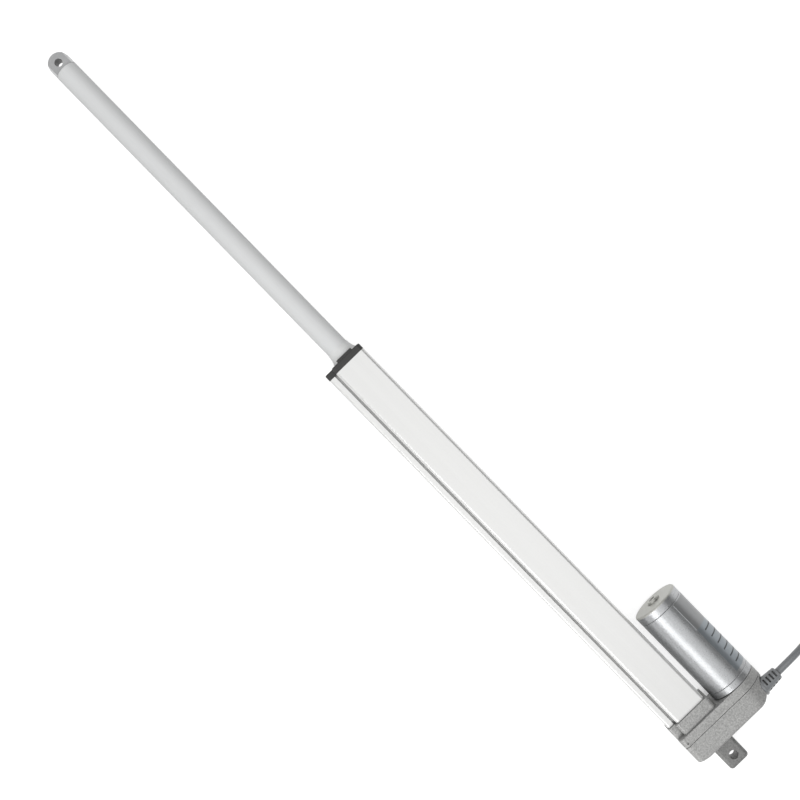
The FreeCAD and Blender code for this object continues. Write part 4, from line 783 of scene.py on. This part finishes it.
class ACTUATOR_OT_relief(bpy.types.Operator):
    """Makes the tapered cable relief with its rows of slots"""

    bl_idname = "actuator.relief"
    bl_label = "Cable relief"

    def execute(self, context):
        low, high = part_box("strain_relief")
        face, wide = high.y, (high.x - low.x) / 2
        tip = face - RELIEF_TIP.y
        shoulder = RELIEF_COLLAR + RELIEF_SLOPE
        stations = [(0.0, wide - RELIEF_EDGE), (RELIEF_EDGE, wide), (RELIEF_COLLAR, wide),
                    (shoulder, wide - RELIEF_SLOPE), (shoulder + RELIEF_STEP, RELIEF_ROOT),
                    (tip - RELIEF_SLOPE, RELIEF_NECK), (tip, RELIEF_NECK - RELIEF_SLOPE)]
        piece = turned("cable_relief", stations, (0, 0), 64)
        piece.rotation_euler.z = -math.pi / 2
        piece.location = (RELIEF_TIP.x, face, RELIEF_TIP.z)
        place_in_mesh(piece)
        cut_away(piece, self.slots())
        soften(piece, width=0.00015, angle=35)
        dress(piece, "housing", "cable_grey", finishes()["cable_grey"], "strain_relief")
        return {"FINISHED"}

    def slots(self):
        """The blocks that cut the slots, each with its floor towards the cable."""
        tools = []
        out = SLOT_FLOOR + SLOT_TOOL / 2
        for row in range(SLOT_ROWS):
            for angle, long in SLOT_COLUMNS:
                place = (RELIEF_TIP.x - out * math.sin(angle),
                         RELIEF_TIP.y + SLOT_START + row * SLOT_PITCH,
                         RELIEF_TIP.z + out * math.cos(angle))
                tools.append(block((long, SLOT_WIDTH, SLOT_TOOL), place, -angle))
        return tools


# The motor


# Stations and radii of the foot and the can
FOOT_SEAT = 0.0428
FOOT_EDGE = 0.0006
PILOT_RADIUS = 0.0069
FOOT_BORE = 0.0045
CAN_INSET = 0.00008
CAN_WALL = 0.0022
# Stations and radii of the cover, with the boss, the shaft's hole and the bush's seat
COVER_FACE = 0.1385
COVER_INSIDE = 0.1345
COVER_BORE = 0.0193
BOSS_RADIUS = 0.0056
BOSS_EDGE = 0.0008
SHAFT_HOLE = 0.0030
SHAFT_EDGE = 0.0004
BUSH_BACK = 0.1315
BUSH_FRONT = 0.1355
BUSH_RADIUS = 0.0045
BUSH_WALL = 0.0030
# The ditch round the boss: its depth, and how far out it is from the boss
BOSS_DITCH = ((0.0, 0.0010), (0.0004, 0.0007), (0.0004, 0.0001), (0.0, 0.0))
# What lies this near to the cover's full radius is its plated rim
RIM_SHARE = 0.97
# The blank label along the motor: its foil, then a plain band with a bright edge
LABEL_START = 0.0525
LABEL_SPLIT = 0.1
LABEL_END = 0.1285
LABEL_EDGE = 0.022
FOIL_STEP = math.radians(2.5)
# The label's printed rules, round the motor
RULE_PLACES = (0.094, 0.0865, 0.079, 0.0715, 0.064, 0.0575)
RULE_WIDTH = 0.0012
RULE_START = math.radians(39)
RULE_SWEEP = math.radians(68)


class ACTUATOR_OT_motor(bpy.types.Operator):
    """Makes the motor's foot, can and cover, with their seams, and its blank label"""

    bl_idname = "actuator.motor"
    bl_label = "Motor"

    def execute(self, context):
        made = finishes()
        dress(self.foot(), "housing", "motor_steel", made["motor_steel"], "motor_base")
        dress(self.can(), "housing", "motor_steel", made["motor_steel"], "motor_can")
        cover = dress(self.cover(), "housing", "end_bell", made["end_bell"], "motor_end_bell")
        cover.data.materials.append(made["motor_steel"])
        for face in cover.data.polygons:
            away = (face.center - Vector((face.center.x, *MOTOR_AXIS))).length
            behind = face.center.x < COVER_FACE - sizes().cover_round
            if behind and away > MOTOR_RADIUS * RIM_SHARE:
                face.material_index = 1
        self.label()
        return {"FINISHED"}

    def foot(self):
        wide, seam = MOTOR_RADIUS, sizes().seam_width
        back = ends_of("motor_base")[0]
        stations = [(back, FOOT_BORE), (back, PILOT_RADIUS), (FOOT_SEAT, PILOT_RADIUS),
                    (FOOT_SEAT, wide - FOOT_EDGE), (FOOT_SEAT + FOOT_EDGE, wide),
                    (CAN_BACK - seam, wide), (CAN_BACK, wide - seam), (CAN_BACK, FOOT_BORE),
                    (back, FOOT_BORE)]
        return settle(turned("motor_foot", stations, MOTOR_AXIS, 128, ring=True))

    def can(self):
        wide, seam = MOTOR_RADIUS - CAN_INSET, sizes().seam_width
        inner = MOTOR_RADIUS - CAN_WALL
        stations = [(CAN_BACK, inner), (CAN_BACK, wide - seam), (CAN_BACK + seam, wide),
                    (CAN_FRONT - seam, wide), (CAN_FRONT, wide - seam), (CAN_FRONT, inner),
                    (CAN_BACK, inner)]
        return settle(turned("motor_body", stations, MOTOR_AXIS, 128, ring=True))

    def cover(self):
        wide, seam = MOTOR_RADIUS, sizes().seam_width
        face, boss = COVER_FACE, BOSS_RADIUS
        reach = sizes().cover_round
        top = ends_of("motor_end_bell")[1]
        stations = [(CAN_FRONT, COVER_BORE), (CAN_FRONT, wide - seam), (CAN_FRONT + seam, wide),
                    (face - reach, wide), *curve_in(face - reach, wide, reach),
                    *[(face - deep, boss + out) for deep, out in BOSS_DITCH],
                    (top - BOSS_EDGE, boss), *curve_in(top - BOSS_EDGE, boss, BOSS_EDGE, 4),
                    (top, SHAFT_HOLE + SHAFT_EDGE), (top - SHAFT_EDGE, SHAFT_HOLE),
                    (BUSH_FRONT, SHAFT_HOLE), (BUSH_FRONT, BUSH_RADIUS),
                    (BUSH_BACK, BUSH_RADIUS), (BUSH_BACK, BUSH_RADIUS + BUSH_WALL),
                    (COVER_INSIDE, BUSH_RADIUS + BUSH_WALL), (COVER_INSIDE, COVER_BORE),
                    (CAN_FRONT, COVER_BORE)]
        return settle(turned("motor_cover", stations, MOTOR_AXIS, 128, ring=True), 24)

    def label(self):
        """The blank label: a foil with plain rules, and a plain band with a bright edge."""
        tint = colours()
        foil = finish("label_foil", tint.label, metal=0.6, rough=(0.3, 0.36), size=0.0005,
                      depth=0.002, contrast=0.04, patch=0.01, patch_contrast=0.02)
        plain = finish("label_band", tint.band, metal=0.55, rough=(0.32, 0.4), size=0.0005,
                       depth=0.002, contrast=0.05, patch=0.01, patch_contrast=0.03)
        pale = finish("label_edge", (0.8, 0.82, 0.84), metal=0.4, rough=(0.3, 0.4),
                      size=0.0005, depth=0.002)
        dark = finish("label_rules", (0.07, 0.075, 0.08), size=0.0005, depth=0.001)
        angle, sweep = sizes().label_angle, sizes().label_sweep
        bands = (("motor_label", LABEL_START, LABEL_SPLIT, angle, sweep, foil),
                 ("motor_label_band", LABEL_SPLIT, LABEL_END, angle, sweep, plain),
                 ("motor_label_edge", LABEL_SPLIT, LABEL_END, angle - LABEL_EDGE, LABEL_EDGE,
                  pale))
        for *shape, material in bands:
            dress(self.patch(*shape), "housing", "motor_steel", material)
        rules = [self.patch("motor_label_rules", place, place + RULE_WIDTH, RULE_START,
                            RULE_SWEEP, sizes().label_thickness / 2) for place in RULE_PLACES]
        take(rules[0])
        for rule in rules[1:]:
            rule.select_set(True)
        bpy.ops.object.join()
        dress(rules[0], "housing", "motor_steel", dark)

    def patch(self, name, start, end, angle, sweep, lift=0.0):
        """A thin foil bent round the motor, from an angle off the top towards the outer side."""
        outer = MOTOR_RADIUS + lift
        inner = outer - sizes().label_thickness
        clear_selection()
        bpy.ops.mesh.primitive_plane_add(size=1, location=(0, 0, 0))
        piece = bpy.context.object
        corners = ((start, inner), (end, inner), (start, outer), (end, outer))
        for vertex, (station, radius) in zip(piece.data.vertices, corners):
            vertex.co = (station, MOTOR_AXIS[0] - radius * math.sin(angle),
                         radius * math.cos(angle))
        bpy.ops.object.mode_set(mode="EDIT")
        bpy.ops.mesh.select_all(action="SELECT")
        steps = max(2, round(sweep / FOIL_STEP))
        bpy.ops.mesh.spin(steps=steps, angle=-sweep, center=(0, *MOTOR_AXIS), axis=(1, 0, 0))
        close_up()
        bpy.ops.object.mode_set(mode="OBJECT")
        piece.name = name
        return settle(piece)


# The tube


# The tube's side wall, and the top of the channel beside it
SIDE_WALL = 0.0159
LOBE_TOP = 0.0085


class ACTUATOR_OT_profile(bpy.types.Operator):
    """Makes the extruded tube with the grooves beside its switch channel"""

    bl_idname = "actuator.profile"
    bl_label = "Extruded tube"

    def execute(self, context):
        back, front = ends_of("profile_tube")
        piece = copy_of("profile_tube", "tube_profile")
        wide, deep = sizes().groove_width, sizes().groove_depth
        tools = [block((front - back + SPARE, wide, 2 * deep),
                       ((back + front) / 2, SIDE_WALL + wide / 2, side * LOBE_TOP))
                 for side in (1, -1)]
        cut_away(piece, tools)
        soften(piece, width=0.00018, angle=35)
        dress(piece, "housing", "anodised", finishes()["anodised"], "profile_tube")
        return {"FINISHED"}


# The rod


ROD_WALL = 0.002
ROD_EDGE = 0.0003


class ACTUATOR_OT_rod(bpy.types.Operator):
    """Makes the smooth round rod and the eye at its end"""

    bl_idname = "actuator.rod"
    bl_label = "Rod"

    def execute(self, context):
        dress(self.sleeve(), "rod", "rod_steel", finishes()["rod_steel"], "rod_tube")
        tip = soften(self.eye(), width=0.0004, segments=3, angle=40)
        dress(tip, "rod", "end_alloy", finishes()["end_alloy"], "rod_end")
        return {"FINISHED"}

    def sleeve(self):
        back, front = ends_of("rod_tube")
        wide = (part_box("rod_tube")[1].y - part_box("rod_tube")[0].y) / 2
        inner = wide - ROD_WALL
        stations = [(back, inner), (back, wide - ROD_EDGE), (back + ROD_EDGE, wide),
                    (front - ROD_EDGE, wide), (front, wide - ROD_EDGE), (front, inner),
                    (back, inner)]
        return settle(turned("rod_sleeve", stations, (0, 0), 96, ring=True))

    def eye(self):
        """The rod's end, rounded off round its pin hole."""
        low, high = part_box("rod_end")
        wide, reach = (high.y - low.y) / 2, high.z - low.z
        centre = (high.x - wide, 0, 0)
        corner = block((wide + SPARE, 2 * wide + SPARE, reach + 2 * SPARE),
                       (centre[0] + (wide + SPARE) / 2, 0, 0))
        clear_selection()
        bpy.ops.mesh.primitive_cylinder_add(vertices=128, radius=wide, depth=reach + 4 * SPARE,
                                            location=centre)
        cut_away(corner, [bpy.context.object])
        return cut_away(copy_of("rod_end", "rod_eye"), [corner])


# The screws


# Each screw: Y and Z of its axis, the station of its head's face, and its length, which is
# negative where it points back
CASE_SCREWS = (
    *((0.0195, z, 0.0165, 0.0213) for z in (0.0135, -0.0135)),
    *((-0.0360, z, 0.0165, 0.0213) for z in (0.0156, -0.0156)),
    (-0.05767, -0.00903, 0.0244, 0.0134),
)
CAP_SCREWS = tuple((y, z, 0.4693, -0.0141) for y in (0.012, -0.012) for z in (0.0111, -0.0111))
# Each kind of screw: its name, its places, its head's radius and depth, and its shank's radius
SCREW_KINDS = (
    ("case", CASE_SCREWS, 0.0035, 0.0032, 0.0020),
    ("cap", CAP_SCREWS, 0.0028, 0.0022, 0.0016),
)
# Shares of a screw's own radii: its head's edge, its cross recess, and its tip
HEAD_EDGE = 0.12
RECESS_REACH = 1.15
TIP_LENGTH = 0.5
TIP_RADIUS = 0.6


class ACTUATOR_OT_screws(bpy.types.Operator):
    """Makes the screws of the gearbox and the cap, with cross recesses and rounded heads"""

    bl_idname = "actuator.screws"
    bl_label = "Screws"

    def execute(self, context):
        steel = finishes()["screw_steel"]
        for kind, rows, head, depth, shank in SCREW_KINDS:
            for number, (y, z, face, reach) in enumerate(rows, 1):
                piece = self.screw(f"{kind}_screw_{number}", head, depth, shank, abs(reach))
                piece.rotation_euler.z = 0 if reach > 0 else math.pi
                piece.location = (face, y, z)
                settle(piece)
                dress(piece, "housing", "screw_steel", steel, f"{kind}_screws")
        return {"FINISHED"}

    def screw(self, name, head, depth, shank, reach):
        """A screw along X with its head's face at the origin."""
        edge = head * HEAD_EDGE
        stations = [(0.0, head - edge), (edge, head), (depth, head), (depth, shank),
                    (reach - shank * TIP_LENGTH, shank), (reach, shank * TIP_RADIUS)]
        piece = turned(name, stations, (0, 0), 40)
        wide, deep, long = sizes().recess_width, 2 * sizes().recess_depth, head * RECESS_REACH
        for arm in ((deep, wide, long), (deep, long, wide)):
            cut_away(piece, [block(arm, (0, 0, 0))])
        return piece


# The stage


FLOOR_SIZE = 12
FLOOR_MIDDLE = 0.35
FLOOR_GAP = 0.0001
FLOOR_GREY = 0.5
# The floor as it is seen: its shade under the object, and its glow there, near and far away
SHADE_REACH = 0.012
SHADE_RANGE = (0.05, 0.4)
NEAR_GLOW = 0.78
FAR_GLOW = 0.4
FAR_RANGE = (0.6, 2.2)
# The world's light, from the horizon up
SKY_HEIGHTS = (0.05, 0.7)
SKY_LIGHT = (0.2, 0.5)
# A dark flag on one side, which only reflections show, and the light left in it
FLAG_RANGE = (-0.35, 0.05)
FLAG_LIGHT = 0.2
# The heights between which a reflection goes over to the white backdrop
BACKDROP_HEIGHTS = (0.34, 0.2)
# Each softbox: its name, its two sides, its place, its tilt in degrees and its power in watts
SOFTBOXES = (
    ("light_over", (2.6, 2.0), (0.35, -0.05, 2.3), 0, 13.5),
    ("light_side", (1.1, 0.85), (-0.15, 1.03, 1.22), -40, 9.0),
)
CAMERA_PLACE = (0.356, -0.0074, 0.979)
CAMERA_TURN = math.radians(225.7)
CAMERA_LENS = 51.75
CAMERA_SENSOR = 36.0
CAMERA_SHIFT = (-0.057, 0.0585)


class ACTUATOR_OT_stage(bpy.types.Operator):
    """Makes the pale floor, the soft studio light and the camera"""

    bl_idname = "actuator.stage"
    bl_label = "Stage"

    def execute(self, context):
        self.floor()
        self.world()
        for softbox in SOFTBOXES:
            self.softbox(*softbox)
        self.camera()
        view = bpy.context.scene.view_settings
        view.view_transform = "Standard"
        return {"FINISHED"}

    def mirrored(self, tree, path):
        """1 for a ray that was reflected or let through."""
        return worked_out(tree, "MAXIMUM", path["Is Glossy Ray"], path["Is Transmission Ray"])

    def floor(self):
        clear_selection()
        bpy.ops.mesh.primitive_plane_add(size=FLOOR_SIZE,
                                         location=(FLOOR_MIDDLE, 0, FLOOR - FLOOR_GAP))
        piece = bpy.context.object
        piece.name = "floor"
        settle(piece)
        material = bpy.data.materials.new("floor_white")
        material.use_nodes = True
        tree = material.node_tree
        shader = tree.nodes["Principled BSDF"]
        shader.inputs["Roughness"].default_value = 0.9
        shader.inputs["Specular IOR Level"].default_value = 0.1
        shader.inputs["Base Color"].default_value = rgb((FLOOR_GREY,) * 3)
        path = add_node(tree, "ShaderNodeLightPath").outputs
        seen = worked_out(tree, "MAXIMUM", path["Is Camera Ray"], self.mirrored(tree, path))
        open_sky = add_node(tree, "ShaderNodeAmbientOcclusion", {"Distance": SHADE_REACH},
                            samples=6)
        near = ramp(tree, open_sky.outputs["AO"], *SHADE_RANGE, high=NEAR_GLOW)
        away = add_node(tree, "ShaderNodeVectorMath",
                        {0: object_place(tree), 1: (FLOOR_MIDDLE, 0, 0)}, operation="DISTANCE")
        far = ramp(tree, away.outputs["Value"], *FAR_RANGE, high=FAR_GLOW)
        glow = worked_out(tree, "MULTIPLY", seen, worked_out(tree, "ADD", near, far))
        shader.inputs["Emission Color"].default_value = (1, 1, 1, 1)
        tree.links.new(glow, shader.inputs["Emission Strength"])
        piece.data.materials.append(material)

    def world(self):
        world = bpy.data.worlds.new("studio")
        bpy.context.scene.world = world
        world.use_nodes = True
        tree = world.node_tree
        ground = tree.nodes["Background"]
        ground.inputs["Color"].default_value = (1, 1, 1, 1)
        way = add_node(tree, "ShaderNodeSeparateXYZ",
                       {0: add_node(tree, "ShaderNodeTexCoord").outputs["Generated"]}).outputs
        path = add_node(tree, "ShaderNodeLightPath").outputs
        sky = ramp(tree, way["Z"], *SKY_HEIGHTS, *SKY_LIGHT)
        flag = ramp(tree, way["Y"], *FLAG_RANGE, low=FLAG_LIGHT)
        shaded = add_node(tree, "ShaderNodeMix", {0: path["Is Glossy Ray"], 2: 1.0, 3: flag})
        sky = worked_out(tree, "MULTIPLY", sky, shaded.outputs[0])
        low = ramp(tree, way["Z"], *BACKDROP_HEIGHTS)
        backdrop = worked_out(tree, "MULTIPLY", self.mirrored(tree, path), low)
        white = worked_out(tree, "MAXIMUM", path["Is Camera Ray"], backdrop)
        light = add_node(tree, "ShaderNodeMix", {0: white, 2: sky, 3: 1.0})
        tree.links.new(light.outputs[0], ground.inputs["Strength"])

    def softbox(self, name, sides, place, tilt, power):
        light = bpy.data.lights.new(name, "AREA")
        light.shape = "RECTANGLE"
        light.size, light.size_y = sides
        light.energy = power
        lamp = bpy.data.objects.new(name, light)
        lamp.location = place
        lamp.rotation_euler.x = math.radians(tilt)
        bpy.context.collection.objects.link(lamp)

    def camera(self):
        data = bpy.data.cameras.new("camera")
        data.sensor_width = CAMERA_SENSOR
        data.lens = CAMERA_LENS
        data.shift_x, data.shift_y = CAMERA_SHIFT
        data.clip_start = 0.01
        camera = bpy.data.objects.new("camera", data)
        camera.location = CAMERA_PLACE
        camera.rotation_euler.z = CAMERA_TURN
        bpy.context.collection.objects.link(camera)
        bpy.context.scene.camera = camera


STEPS = (
    ACTUATOR_OT_finishes,
    ACTUATOR_OT_stage,
    ACTUATOR_OT_cable,
    ACTUATOR_OT_relief,
    ACTUATOR_OT_motor,
    ACTUATOR_OT_profile,
    ACTUATOR_OT_rod,
    ACTUATOR_OT_screws,
)


class ACTUATOR_PT_panel(bpy.types.Panel):
    """The actuator's pieces, sizes and colours"""

    bl_idname = "ACTUATOR_PT_panel"
    bl_label = "Actuator"
    bl_space_type = "VIEW_3D"
    bl_region_type = "UI"
    bl_category = "Actuator"

    def draw(self, context):
        for step in STEPS:
            self.layout.operator(step.bl_idname)
        for group in (context.scene.actuator_sizes, context.scene.actuator_colours):
            box = self.layout.box()
            for key in group.__annotations__:
                box.prop(group, key)


CLASSES = (ActuatorSizes, ActuatorColours, *STEPS, ACTUATOR_PT_panel)


def register():
    for item in CLASSES:
        bpy.utils.register_class(item)
    bpy.types.Scene.actuator_sizes = PointerProperty(type=ActuatorSizes)
    bpy.types.Scene.actuator_colours = PointerProperty(type=ActuatorColours)


def unregister():
    del bpy.types.Scene.actuator_colours
    del bpy.types.Scene.actuator_sizes
    for item in reversed(CLASSES):
        bpy.utils.unregister_class(item)


def main():
    """Makes every piece in order."""
    register()
    for step in STEPS:
        area, name = step.bl_idname.split(".")
        getattr(getattr(bpy.ops, area), name)()
    bpy.context.view_layer.update()


if __name__ == "__main__":
    main()
